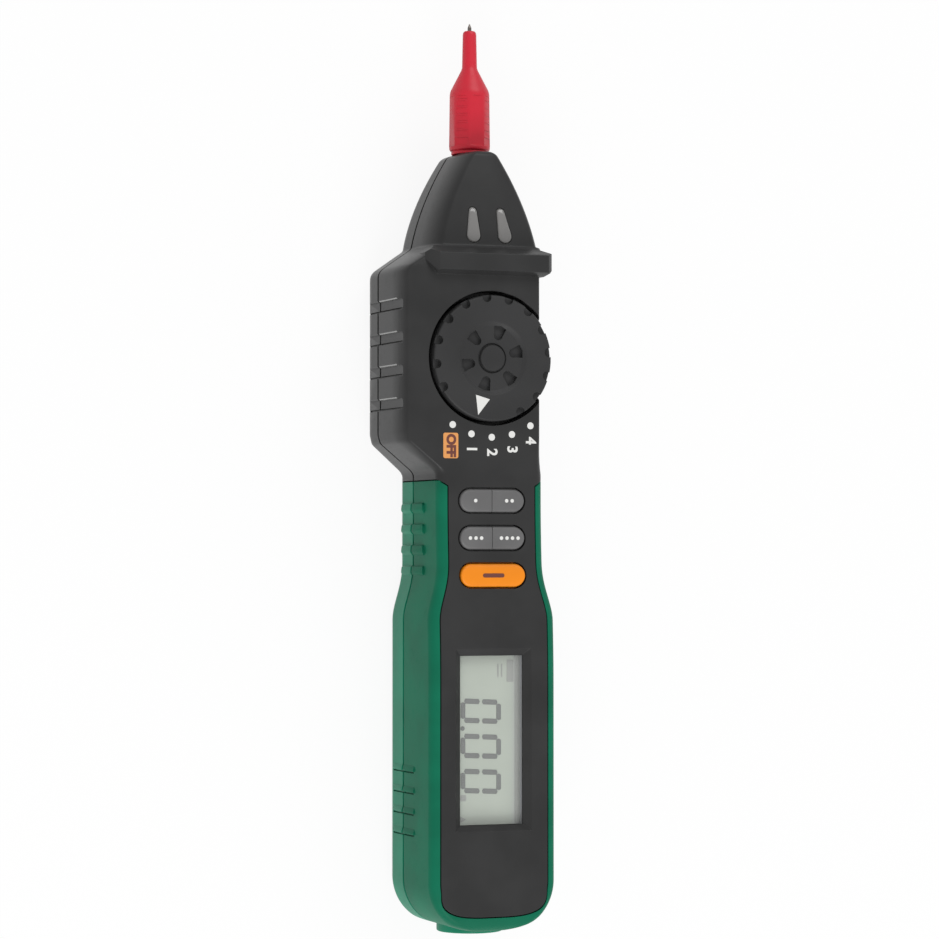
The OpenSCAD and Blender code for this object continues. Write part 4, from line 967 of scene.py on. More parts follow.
@dataclass
class Housing:
    """The front and rear cases with their grips. Lengths are in millimetres."""

    lower: float = -76.3
    belly_l: float = 69.7
    flare_l: float = 13.7
    waist_l: float = 19.3
    head_l: float = 44.8
    slope_l: float = 7.9
    shoulder_l: float = 6.8
    nose_l: float = 21.9
    belly_hw: float = 15.2
    waist_hw: float = 12.8
    head_reach: float = 21.4
    guard_hw: float = 14.3
    nose_base_hw: float = 13.4
    nose_end_hw: float = 4.2
    corner_r: float = 11.3
    axis_h: float = 13.3
    seam: float = 10.8
    seam_gap: float = 0.1
    roof: float = 25.2
    head_face: float = 26.65
    belly_face: float = 28.4
    guard_face: float = 29.05
    nose_base: float = 25.0
    nose_end_face: float = 22.6
    nose_lift: float = 4.2
    rim_w: float = 2.35
    core_wall: float = 1.0
    head_wall: float = 2.0
    floor: float = 1.8
    chin: float = 3.5
    chin_drop: float = 1.2
    grip_slant: float = 1.4
    reveal: float = 0.25
    well_top: float = 21.4
    well_under: float = 19.8
    holder_l: float = 12.9
    low_round: float = 2.2
    tip_round: float = 1.1
    round_most: float = 0.45
    flare_power: float = 1.25
    nose_bow: float = 0.52
    lift_power: float = 1.5
    chin_power: float = 1.3
    face_run: float = 40
    shoulder_soft: float = 0.7
    edge_soft: float = 1.0
    nose_step: float = 1.8
    grip_drop: float = 1.2
    grip_gap: float = 0.32
    key_drop: float = 6.0
    dial_rise: float = 26.1
    window_rise: float = 43.0
    lens_rise: float = 2.35
    head_floor: float = 3.25
    holder_rib: float = 2.6
    holder_rib_t: float = 1.2
    collar_room_r: float = 7.65
    socket_room_r: float = 6.5
    holder_room_r: float = 3.02
    joint_half: float = 0.38
    joint_depth: float = 1.1
    repeats: int = 4
    pad_drop: float = 7.6
    pad_pitch: float = 4.75
    rib_rise: float = 21.8
    pad_low: float = 4.5
    pad_high: float = 17.8
    groove_rise: float = 15.6
    groove_pitch: float = 7.45
    groove_half: float = 1.25
    groove_low: float = 3.25
    guard_left: float = -16.1
    guard_l: float = 3.8
    guard_slope: float = 1.8
    guard_bevel: float = 1.3
    well_r: float = 15.2
    hub_room_r: float = 8.06
    key_pitch: float = 8.4
    key_room: Point2 = (8.2, 3.0)
    glass_room: Point2 = (9.5, 21.15)
    glass_top: float = 27.0
    nose_roof: float = 20.3
    bay: tuple[float, float] = (-56.0, -6.5)
    bay_hw: float = 10.85
    bay_wall: float = 0.75
    screws: tuple[Point2, ...] = ((-9.15, -66.0), (9.15, -66.0), (-16.4, 37.7), (-16.4, 66.6))
    door_screw_y: float = -61.2
    slope_shares: tuple[Point2, ...] = ((0, 0), (0.12, 0.07), (0.9, 0.94), (1.15, 1))
    shoulder_shares: tuple[Point3, ...] = (
        (0, 1, 0), (0.12, 0.985, 0.5), (0.26, 0.91, 1), (0.5, 0.62, 1), (1, 0, 0.95),
    )
    form: bpy.types.Object | None = field(default=None, init=False)

    def __post_init__(self) -> None:
        """Work out the stations along Y and the tables that follow them."""
        self.flare = self.lower + self.belly_l
        self.waist = self.flare + self.flare_l
        self.head = self.waist + self.waist_l
        self.head_slope = self.head + self.slope_l
        self.shoulder = self.head + self.head_l
        self.nose = self.shoulder + self.shoulder_l
        self.nose_end = self.nose + self.nose_l
        self.panel = self.lower + self.chin
        self.grip = self.head - self.grip_drop
        self.key_y = self.head - self.key_drop
        self.dial_y = self.head + self.dial_rise
        self.window_y = self.lower + self.window_rise
        self.lens_y = self.nose + self.lens_rise
        self.rib_top = self.nose_end - self.holder_l + self.holder_rib
        self.pad_ys = [self.head - self.pad_drop - i * self.pad_pitch for i in range(self.repeats)]
        self.rib_ys = [self.lower + self.rib_rise + i * self.pad_pitch for i in range(self.repeats)]
        self.groove_ys = [self.head + self.groove_rise + i * self.groove_pitch for i in range(self.repeats)]
        left = [
            (self.head + self.slope_l * a, mix(self.waist_hw, self.head_reach, b)) for a, b in self.slope_shares
        ]
        right = [(self.head, self.waist_hw)]
        for a, b, c in self.shoulder_shares:
            y = self.shoulder + self.shoulder_l * a
            left.append((y, mix(self.nose_base_hw, self.head_reach, b)))
            right.append((y, mix(self.waist_hw, self.guard_hw, c)))
        self.reaches = {1: left, 2: right}
        self.back_rs = [(self.head, 4.5), (self.head_slope, 6.5), (self.nose, 6.5), (self.nose_end, 3.0)]
        self.edge_ws = [(self.head, 2.35), (self.head_slope, 1.5), (self.shoulder, 1.5), (self.nose, 2.6)]
        self.edge_hs = [(self.head, 2.35), (self.head_slope, 7.0), (self.shoulder, 7.0), (self.nose, 9.0)]
        self.nose_faces = [
            (self.nose - self.nose_step, self.head_face),
            (self.nose, self.nose_base),
            (self.nose_end, self.nose_end_face),
        ]

    def reach(self, y: float, side: int) -> float:
        """Reach of the outline.

        Args:
            y: The place along Y.
            side: 1 for the left and 2 for the right.

        Returns:
            The distance from the axis.
        """
        if y < self.lower + self.corner_r:
            t = max(0.0, min(1.0, 1 - (y - self.lower) / self.corner_r))
            return self.belly_hw - self.corner_r * (1 - math.sqrt(1 - t * t))
        if y < self.head:
            t = (y - self.flare) / self.flare_l
            return mix(self.waist_hw, self.belly_hw, ease(max(0.0, 1 - t) ** self.flare_power))
        if y > self.nose:
            s = max(0.0, (self.nose_end - y) / self.nose_l)
            return mix(self.nose_end_hw, self.nose_base_hw, s * (1 + self.nose_bow * (1 - s)))
        return soften(self.reaches[side], y, self.shoulder_soft)

    def face(self, y: float) -> float:
        """Height of the front face.

        Args:
            y: The place along Y.

        Returns:
            The height, which falls off towards the lower end and down the nose.
        """
        if y < self.nose_faces[0][0]:
            fallen = self.chin_drop * (max(0.0, self.panel - y) / self.chin) ** self.chin_power
            return mix(self.head_face, self.belly_face, ease((self.key_y - y) / self.face_run)) - fallen
        return lookup(y, self.nose_faces)

    def back(self, y: float) -> float:
        """Height of the back at y."""
        return self.nose_lift * max(0.0, (y - self.nose) / self.nose_l) ** self.lift_power

    def section(self, y: float) -> list[Point3]:
        """One ring of the outer form.

        Args:
            y: The place along Y.

        Returns:
            The ring, from the left foot over the front to the right foot.
        """
        end = fall(y - self.lower, self.low_round) + fall(self.nose_end - y, self.tip_round)
        left, right = self.reach(y, 1) - end, self.reach(y, 2) - end
        low, top = self.back(y) + end, self.face(y) - end
        width = (left + right) * self.round_most
        r, w, h = (soften(table, y, self.edge_soft) for table in (self.back_rs, self.edge_ws, self.edge_hs))
        r, w = min(r, width), min(w, width)
        turns = [QUARTER * i / 10 for i in range(11)]
        flank = [(r * (1 - math.sin(a)), low + r * (1 - math.cos(a))) for a in turns]
        flank += [(w * (1 - math.cos(a)), top - h * (1 - math.sin(a))) for a in turns]
        ring = [(x - left, y, z) for x, z in flank]
        return ring + [(right - x, y, z) for x, z in reversed(flank)]

    def stations(self) -> list[float]:
        """Places of the form's rings.

        Returns:
            Rising places along Y, close together where the form curves.
        """
        places = {self.lower + self.corner_r * (1 - math.cos(math.radians(2.5 * i))) for i in range(37)}
        for a, b, steps, used in (
            (self.flare, self.waist, 18, range(19)),
            (self.flare - 30, self.flare, 8, range(8)),
            (self.waist, self.head, 6, range(1, 6)),
            (self.head - 0.7, self.head + self.slope_l * 1.2, 26, range(27)),
            (self.shoulder - 0.7, self.nose + 0.5, 30, range(31)),
            (self.nose + 0.5, self.nose_end - 2, 30, range(31)),
        ):
            places |= {mix(a, b, i / steps) for i in used}
        places |= {self.nose_end - 2 * (1 - math.sin(math.radians(6 * i))) for i in range(16)}
        ordered = sorted(places)
        return ordered[:1] + [b for a, b in zip(ordered, ordered[1:]) if b - a > 0.004]

    def flank(self, a: float, b: float, side: int, inset: float) -> list[Point2]:
        """Reach of the outline between two places, drawn in."""
        return [(self.reach(y, side) - inset, y) for y in [a, *(y for y in self.stations() if a < y < b), b]]

    def band(self, a: float, b: float, inset: float) -> list[Point2]:
        """Outline between two places, drawn in on both sides."""
        left = [(-x, y) for x, y in self.flank(a, b, 1, inset)]
        return self.flank(a, b, 2, inset) + left[::-1]

    def core(self, gap: float) -> list[Point2]:
        """Outline of the black core between the grips, with the head and nose.

        Args:
            gap: How far it is widened.

        Returns:
            The outline, round at its lower corners and open-ended beyond the nose.
        """
        wide, end, turn, power = self.head_reach + 4, self.panel - gap, 6.0, 0.62
        side = self.flank(end + turn, self.grip - self.grip_slant - gap, 2, self.rim_w - gap)
        angles = [math.radians(6 * i) for i in range(1, 15)]
        right = [(side[0][0] * math.sin(a) ** power, end + turn * (1 - math.cos(a) ** power)) for a in angles]
        right += side
        right += [(self.waist_hw, self.grip - gap), (wide, self.grip - gap), (wide, self.nose_end + 4)]
        return right + [(-x, y) for x, y in reversed(right)]

    def make_form(self) -> bpy.types.Object:
        """The whole outer form as one smooth loft.

        Returns:
            The form.
        """
        made = rings("housing_form", [self.section(y) for y in self.stations()])
        made.data.shade_smooth()
        return made

    def copy_form(self, name: str) -> bpy.types.Object:
        """A fresh copy of the outer form."""
        return link(name, self.form.data.copy())

    def guard(self) -> bpy.types.Object:
        """The finger guard across the top of the head.

        Returns:
            The guard with soft edges.
        """
        left, right, bevel, face = self.guard_left, self.guard_hw, self.guard_bevel, self.guard_face
        top = self.nose - 0.27
        high, low = top - self.guard_slope, top - self.guard_slope - self.guard_l
        foot, mid = low - 0.9, (self.axis_h + self.head_face) / 2
        side = [
            (foot, mid), (top, mid), (top, self.nose_base),
            (high, face), (low, face), (foot, self.head_face),
        ]
        end = [
            (left, mid), (right, mid), (right, face - bevel), (right - bevel, face),
            (left + 2.7, face), (left, self.head_face),
        ]
        plan = [
            (left, low + 2.2), (left + 3.0, foot), (self.waist_hw, foot), (right, foot + bevel),
            (right, top - bevel), (self.waist_hw - bevel, top), (-self.nose_base_hw, top), (left, high),
        ]
        made = prism("guard", side, left, right, Along.X)
        bounds = [prism("end", end, foot - 1, top + 1, Along.Y), prism("plan", plan, mid - 1, ABOVE)]
        return soft_edges(carve(made, bounds, Carving.KEEP), 0.45)

    def grooves(self) -> list[bpy.types.Object]:
        """Cutters of the grooves in the head's left side.

        Returns:
            For each groove its flared trough and the deep slot along its lower edge.
        """
        tools = []
        low, front, half = self.groove_low, self.head_face - 1.45, self.groove_half
        for y in self.groove_ys:
            rim = [
                (-self.head_reach + inward, rounded(y - half, y + half + wider, low, front + wider, 0.83))
                for inward, wider in ((-0.3, 0.68), (0.3, 0.0), (0.6, 0.0))
            ]
            tools.append(rings("groove", [[(x, u, v) for u, v in outline] for x, outline in rim]))
            slot = rounded(y - half, y - 0.8, low, front - 0.3, 0.2)
            tools.append(prism("slot", slot, -ASIDE, 1.1 - self.head_reach, Along.X))
        return tools

    def glint_strips(self) -> list[bpy.types.Object]:
        """Thin strips along the upper edges of the grooves in front of the seam, lighter than the housing as a
        painted glint.

        Returns:
            One thin slanted strip for each groove.
        """
        section = ((0.02, 1.53), (0.29, 1.22), (0.36, 1.3), (0.09, 1.61))
        made = []
        for i, y in enumerate(self.groove_ys):
            strip = [(-self.head_reach + u, y + v) for u, v in section]
            made.append(prism(f"groove_glint_{i + 1}", strip, self.seam + 0.5, 22.5))
        return made

    def seam_cut(self) -> bpy.types.Object:
        """Cutter of the dark joint that shows between the front and the rear.

        Returns:
            A thin slab, open inside the joint's depth.
        """
        depth, half = self.joint_depth, self.joint_half
        around = box_outline(-40, 40, self.lower - 5, self.nose_end + 5)
        slab = prism("seam", around, self.seam - half, self.seam + half)
        inside = self.band(self.lower + depth, self.nose_end - depth, depth)
        return carve(slab, [prism("inside", inside, 0, 30)])

    def bore(self, name: str, radius: float, low: float, high: float) -> bpy.types.Object:
        """Cutter of a round room on the meter's long axis."""
        return prism(name, disc(0, self.axis_h, radius), low, high, Along.Y)

    def collar_room(self) -> bpy.types.Object:
        """Cutter of the socket collar's seat."""
        return self.bore("collar_room", self.collar_room_r, self.lower - 3, self.lower + 1.3)

    def common_cuts(self) -> list[bpy.types.Object]:
        """Cutters that both cases share.

        Returns:
            Those of the joint, the socket and the probe's holder.
        """
        return [
            self.seam_cut(),
            self.collar_room(),
            self.bore("socket_room", self.socket_room_r, self.lower, self.lower + 17.3),
            self.bore("holder_room", self.holder_room_r, self.nose_end - self.holder_l, self.nose_end + 2),
        ]

    def nose_hollows(self, inset: float, low: float, high: float) -> list[bpy.types.Object]:
        """Cutters of the nose's two rooms, on both sides of the rib that holds the probe's holder.

        Args:
            inset: The wall beside them.
            low: Their lowest height.
            high: Their highest height.

        Returns:
            The two cutters.
        """
        behind = self.band(self.nose - 4, self.rib_top - self.holder_rib_t, inset)
        ahead = self.band(self.rib_top, self.nose_end - 4.3, inset)
        return [prism("nose_hollow", behind, low, high), prism("tip_hollow", ahead, low, high)]

    def front_case(self) -> bpy.types.Object:
        """The front case, from the loft.

        Returns:
            The case with its guard, hollows and openings.
        """
        case = self.copy_form("front_shell")
        carve(case, [prism("above", self.core(0), self.seam + self.seam_gap, ABOVE)], Carving.KEEP)
        carve(case, [self.guard()], Carving.ADD)
        low, wall = self.seam - 1, self.rim_w + self.core_wall
        inner = self.waist_hw - self.rim_w - self.core_wall
        across, along = self.glass_room
        glass = box_outline(-across, across, self.window_y - along, self.window_y + along)
        tools = [
            prism("lower_hollow", self.band(self.panel + 1, self.head - 2, wall), low, self.roof),
            prism("head_hollow", self.band(self.grip + 1, self.nose - 2, self.head_wall), low, self.well_under),
            prism("pass", box_outline(-inner, inner, self.grip - 2, self.head + 2), low, self.well_under),
            *self.nose_hollows(self.head_wall, low, self.nose_roof),
            prism("well", disc(0, self.dial_y, self.well_r, 144), self.well_top, ABOVE),
            prism("hub_hole", disc(0, self.dial_y, self.hub_room_r), self.well_under - 1, ABOVE),
        ]
        key_ys = [self.key_y - self.key_pitch * i for i in range(3)]
        tools += [prism("key_hole", pill(0, y, *self.key_room), 15, ABOVE) for y in key_ys]
        tools += [self.window_bevel(), prism("window_pocket", glass, self.roof - 1, self.glass_top)]
        tools += [prism("lens_hole", outline, 15, ABOVE) for outline in Indicators(self).outlines(0.1)]
        return carve(case, tools + self.grooves() + self.common_cuts())

    def window_bevel(self) -> bpy.types.Object:
        """Cutter of the bevelled opening over the display.

        Returns:
            The cutter, straight in the glass's room and flared above it.
        """
        y, glass = self.window_y, self.glass_top
        inner, outer = (-7.8, 7.2, y - 18.9, y + 18.9), (-9.45, 9.05, y - 20.4, y + 20.7)
        loops = []
        for z in (glass - 0.5, glass, ABOVE):
            share = max(0.0, (z - glass) / (self.belly_face - glass))
            outline = box_outline(*(mix(a, b, share) for a, b in zip(inner, outer)))
            loops.append([(u, v, z) for u, v in outline])
        return rings("window_bevel", loops)

    def rear_case(self) -> bpy.types.Object:
        """The rear case with its battery bay.

        Returns:
            The case with its hollows, bosses and screw holes.
        """
        case = self.copy_form("rear_shell")
        carve(case, [prism("below", self.core(0), BELOW, self.seam - self.seam_gap)], Carving.KEEP)
        top, floor, wall = self.seam + 1, self.floor, self.rim_w + self.core_wall
        (bay_low, bay_top), across = self.bay, self.bay_hw + self.bay_wall
        low_wall, top_wall = bay_low - 1.2, bay_top + 1.2
        carve(case, [
            prism("lower_hollow", self.band(self.panel + 1, low_wall, wall), 3.4, top),
            prism("waist_hollow", self.band(-3.1, self.head + 1, wall), floor, top),
            prism("head_hollow", self.band(self.grip + 1, self.nose, self.head_wall), self.head_floor, top),
            prism("head_deep", self.band(self.head, self.shoulder, 5.6), floor, top),
            *self.nose_hollows(2.9, 6.0, top),
        ])
        door_screw = (0, self.door_screw_y)
        walls = [prism("bay_wall", box_outline(-across, across, low_wall, top_wall), floor, 13.35)]
        walls += [prism("boss", disc(x, y, 3.3, 32), floor - 0.3, 3.9) for x, y in self.screws]
        walls += [prism("door_boss", disc(*door_screw, 2.3, 32), floor, 6.6)]
        carve(case, walls, Carving.ADD)
        tools = [prism("bay", box_outline(-self.bay_hw, self.bay_hw, bay_low, bay_top), BELOW, 12.6)]
        tools += [prism("door_room", outline, BELOW, 1.6) for outline in BatteryBay.door_outlines(0.2)]
        tools += [prism("door_thread", disc(*door_screw, 1.12, 24), 0, 6.0)]
        tools += [prism("head_sink", disc(x, y, 2.3, 40), BELOW, 2.9) for x, y in self.screws]
        tools += [prism("screw_hole", disc(x, y, 1.3, 32), BELOW, 12) for x, y in self.screws]
        return carve(case, tools + self.grooves() + self.common_cuts())

    def pads(self) -> list[bpy.types.Object]:
        """The raised pads of the waist and ribs of the belly.

        Returns:
            Those of the left flank and then of the right.
        """
        rows = [(PAD, self.waist_hw, self.pad_ys), (RIB, self.belly_hw, self.rib_ys)]
        return [
            relief.build(side, reach, y, self.pad_low, self.pad_high)
            for side in (-1, 1)
            for relief, reach, places in rows
            for y in places
        ]

    def rib_lines(self) -> list[bpy.types.Object]:
        """Cutters of the fine line under each rib.

        Returns:
            The cutters, which reach through both flanks and leave the inside alone.
        """
        inner, made = self.belly_hw - 0.45, []
        for y in self.rib_ys:
            line = prism("line", rounded(y - 0.8, y - 0.42, self.pad_low, 17.4, 0.18), -ASIDE, ASIDE, Along.X)
            made.append(carve(line, [prism("inside", box_outline(-inner, inner, -200, 200), -5, 45)]))
        return made

    def grip_shell(self, name: str, low: float, high: float, groove: tuple[float, float]) -> bpy.types.Object:
        """One of the two green grips.

        Args:
            name: The piece's name.
            low: Its lowest height.
            high: Its highest height.
            groove: Heights between which the groove beside the panel is cut.

        Returns:
            The grip.
        """
        grip = carve(self.copy_form(name), self.pads(), Carving.ADD)
        zone = prism("zone", box_outline(-18, 18, self.lower - 3, self.grip - self.grip_gap), low, high)
        carve(grip, [zone], Carving.KEEP)
        tools = [prism("core", self.core(0), -5, 45), prism("groove", self.core(self.reveal), *groove)]
        return carve(grip, tools + self.rib_lines() + [self.seam_cut(), self.collar_room()])

    def build(self) -> None:
        """Make and dress the four shells and the painted glint strips along the grooves."""
        # Strips of painted glint along the grooves' upper edges.
        for edge in self.glint_strips():
            dress(shade(edge, 30), Finishes.POLISHED_GLINT, "housing", "case_black")
        self.form = self.make_form()
        above, below = self.seam + self.seam_gap, self.seam - self.seam_gap
        cases = self.front_case(), self.rear_case()
        front_grip = self.grip_shell("front_grip_shell", above, ABOVE, (25.87, 45))
        rear_grip = self.grip_shell("rear_grip_shell", BELOW, below, (-5, 1.2))
        for shell, finish, slot, node in (
            (cases[0], Finishes.BLACK, "case_black", "front_case"),
            (cases[1], Finishes.REAR_BLACK, "case_black", "rear_case"),
            (front_grip, Finishes.GREEN, "grip_green", "front_grip"),
            (rear_grip, Finishes.GREEN_REAR_SHEEN, "grip_green", "rear_grip"),
        ):
            follow(shade(shell, 34), self.form.data)
            dress(shell, finish, "housing", slot, [node])
        bpy.data.meshes.remove(self.form.data)


# ---- the dial ----


@dataclass
class Dial:
    """The selector dial with its pointer."""

    housing: Housing
    radius: float = 14.25
    top: float = 27.65
    bottom: float = 21.7
    hub_r: float = 8.0
    hub_bottom: float = 19.5
    rim_round: float = 0.55
    notch_r: float = 1.05
    notch_pitch: float = 22.5
    dish_r: float = 8.3
    dish_d: float = 0.7
    boss_r: float = 3.0
    pockets: int = 6
    pocket: Point2 = (5.35, 7.2)
    pointer_a: float = -106.05
    pointer_l: float = 4.2
    pointer_hw: float = 1.75
    pointer_depth: float = 0.5

    def profile(self) -> list[Point2]:
        """The knob's section.

        Returns:
            Radius and height of each ring, from the hub's underside over the rim to the middle of the top.
        """
        t, r, dish, boss, edge = self.top, self.radius, self.dish_r, self.boss_r, self.rim_round
        floor = t - self.dish_d
        rows = [(0.01, self.hub_bottom), (self.hub_r, self.hub_bottom), (self.hub_r, self.bottom)]
        rows += [(r - 0.2, self.bottom), (r, self.bottom + 0.2)]
        turns = [QUARTER * i / 6 for i in range(7)]
        rows += [(r - edge * (1 - math.cos(a)), t - edge * (1 - math.sin(a))) for a in turns]
        rows += [(dish + 0.25, t), (dish, t - 0.03), (dish - 0.25, t - 0.14)]
        rows += [(dish - 1.0, floor + 0.04), (dish - 1.2, floor)]
        rows += [(boss + 0.4, floor), (boss + 0.32, floor - 0.35), (boss + 0.04, floor - 0.35)]
        return rows + [(boss, floor + 0.2), (boss - 0.15, t - 0.27), (boss - 0.4, t - 0.23), (0.01, t - 0.2)]

    def knob(self) -> bpy.types.Object:
        """The turned knob.

        Returns:
            The knob with its rim notches, the pockets of its dish and the pointer's bed.
        """
        notch_r, (inner, outer) = self.notch_r, self.pocket
        notch = arc(self.radius - self.rim_round, 0, notch_r, 90, 270, 14)
        notch += [(self.radius + 2, -notch_r), (self.radius + 2, notch_r)]
        pocket = arc(inner, 0, 1.05, 90, 270, 14) + [(outer, -1.5), (outer + 0.35, 0.0), (outer, 1.5)]
        knob = turned("dial_knob", self.profile(), steps=180)
        notches = [turned_outline(notch, 0, 0, self.notch_pitch * i) for i in range(2, 15)]
        pockets = [turned_outline(pocket, 0, 0, 360 / self.pockets * i) for i in range(self.pockets)]
        tools = [prism("notch", outline, self.top - notch_r, ABOVE) for outline in notches]
        tools += [prism("pocket", outline, self.top - self.dish_d - 0.8, ABOVE) for outline in pockets]
        bed = prism("pointer_bed", self.pointer_outline(0.05), self.top - self.pointer_depth, ABOVE)
        return carve(knob, [*tools, bed])

    def pointer_outline(self, gap: float) -> list[Point2]:
        """The pointer's triangle along +X, made wider by a gap."""
        tip, foot, half = self.radius * 0.94, self.radius * 0.94 - self.pointer_l - gap, self.pointer_hw + gap
        return [(tip + 2 * gap, 0), (foot, half), (foot, -half)]

    def set_in_place(self, piece: bpy.types.Object) -> bpy.types.Object:
        """Turn a piece from +X to the pointer's angle and move it to the dial's axis.

        Args:
            piece: The piece, made round the origin.

        Returns:
            The piece.
        """
        turn = Matrix.Rotation(math.radians(self.pointer_a), 4, "Z")
        piece.data.transform(Matrix.Translation((0, self.housing.dial_y * MM, 0)) @ turn)
        return piece

    def build(self) -> None:
        """Make and dress the dial."""
        knob = shade(self.set_in_place(self.knob()), 32)
        dress(knob, Finishes.DIAL, "dial", "dial_black", ["dial"])
        pointer = prism("dial_mark", self.pointer_outline(0), self.top - self.pointer_depth, self.top + 0.03)
        pointer = shade(self.set_in_place(pointer), 30)
        dress(pointer, Finishes.WHITE_INK, "dial", "pointer_white", ["dial_pointer"])
        refinish(
            dial_rotor=Finishes.IVORY,
            dial_wipers=Finishes.BRASS,
            detent_balls=Finishes.ZINC,
            detent_springs=Finishes.ZINC,
        )


# ---- keys ----


class KeySide(Enum):
    """Where a key stands in its row."""

    LEFT = -1
    WHOLE = 0
    RIGHT = 1


@dataclass(frozen=True)
class Key:
    """One key: its body, its row from the head down, its side and its count of printed dots."""

    body: str
    row: int
    side: KeySide
    dots: int = 0


KEYS = (
    Key("range_key", 0, KeySide.LEFT, 1),
    Key("hold_key", 0, KeySide.RIGHT, 2),
    Key("peak_key", 1, KeySide.LEFT, 3),
    Key("function_key", 1, KeySide.RIGHT, 4),
    Key("sense_key", 2, KeySide.WHOLE),
)


@dataclass
class Keypad:
    """The five keys over their rubber mat."""

    housing: Housing
    half_w: float = 7.8
    half_l: float = 2.6
    proud: float = 0.5
    round_r: float = 0.5
    crown_r: float = 7.0
    crown_share: float = 0.75
    stem_x: float = 4.1
    stem_r: float = 1.4
    stem_bottom: float = 21.3
    flange: Point2 = (8.65, 3.45)
    flange_top: float = 25.1
    split: float = 0.05
    dot_r: float = 0.42
    dot_pitch: float = 1.35
    bar: Point2 = (2.6, 0.45)

    def place(self, key: Key) -> Point2:
        """The key's middle along Y and the height of its top."""
        y = self.housing.key_y - key.row * self.housing.key_pitch
        return y, self.housing.face(y) + self.proud

    def cap(self, key: Key) -> bpy.types.Object:
        """One key with a crowned and softly rounded top.

        Args:
            key: The key.

        Returns:
            Its cap with flange and stem.
        """
        (y, top), r, share = self.place(key), self.round_r, self.crown_share
        rows = [(0.0, mix(top - self.flange_top + 0.5, r, i / 5), share * i / 6) for i in range(6)]
        turns = [QUARTER * i / 8 for i in range(1, 9)]
        rows += [(r * (1 - math.cos(a)), r * (1 - math.sin(a)), share) for a in turns]
        loops = []
        for inset, drop, crowned in [*rows, (1.2, 0.0, share)]:
            loop = []
            for u, v in pill(0, 0, self.half_w - inset, self.half_l - inset, 20):
                crown = self.crown_r - math.sqrt(self.crown_r**2 - v * v)
                loop.append((u, y + v, top - drop - crown * crowned))
            loops.append(loop)
        made = rings(key.body.replace("key", "cap"), loops)
        flange = prism("flange", pill(0, y, *self.flange, 20), self.flange_top - 1, self.flange_top)
        carve(made, [flange], Carving.ADD)
        stem = disc(key.side.value * self.stem_x, y, self.stem_r, 32)
        carve(made, [prism("stem", stem, self.stem_bottom, self.flange_top - 0.5)], Carving.ADD)
        return made if key.side is KeySide.WHOLE else self.halve(made, key)

    def halve(self, cap: bpy.types.Object, key: Key) -> bpy.types.Object:
        """Keep one half of a split pair and soften the edge where the halves meet.

        Args:
            cap: The cap of the whole pair.
            key: The key.

        Returns:
            The half.
        """
        (y, top), side = self.place(key), key.side.value
        keep = box_outline(*sorted((side * self.split, side * 12)), y - 6, y + 6)
        carve(cap, [prism("half", keep, 10, ABOVE)], Carving.KEEP)
        valley = [(1.4 * a / 6, top - 0.3 * math.cos(math.pi * a / 12) ** 2 + 0.02) for a in range(-6, 7)]
        valley = [(-1.5, top + 0.3), *valley, (1.5, top + 0.3)]
        return carve(cap, [prism("valley", valley, y - 6, y + 6, Along.Y)])

    def mark(self, key: Key) -> bpy.types.Object:
        """Plain print by which a key is told apart.

        Args:
            key: The key.

        Returns:
            Its dots, or a bar on the whole key.
        """
        (y, top), x = self.place(key), key.side.value * self.stem_x
        offsets = [(i - (key.dots - 1) / 2) * self.dot_pitch for i in range(key.dots)]
        outlines = [disc(x + offset, y, self.dot_r, 24) for offset in offsets] or [pill(x, y, *self.bar, 12)]
        return film(key.body.replace("key", "mark"), outlines, top - 0.02, top + 0.03)

    def build(self) -> None:
        """Make and dress the keys and the mat."""
        for key in KEYS:
            whole = key.side is KeySide.WHOLE
            finish, slot = (Finishes.ORANGE, "key_orange") if whole else (Finishes.GREY, "key_grey")
            dress(shade(self.cap(key), 40), finish, key.body, slot, [key.body])
            dress(self.mark(key), Finishes.DARK_INK if whole else Finishes.WHITE_INK, key.body, slot)
        refinish(keypad_mat=Finishes.MAT)


# ---- display ----


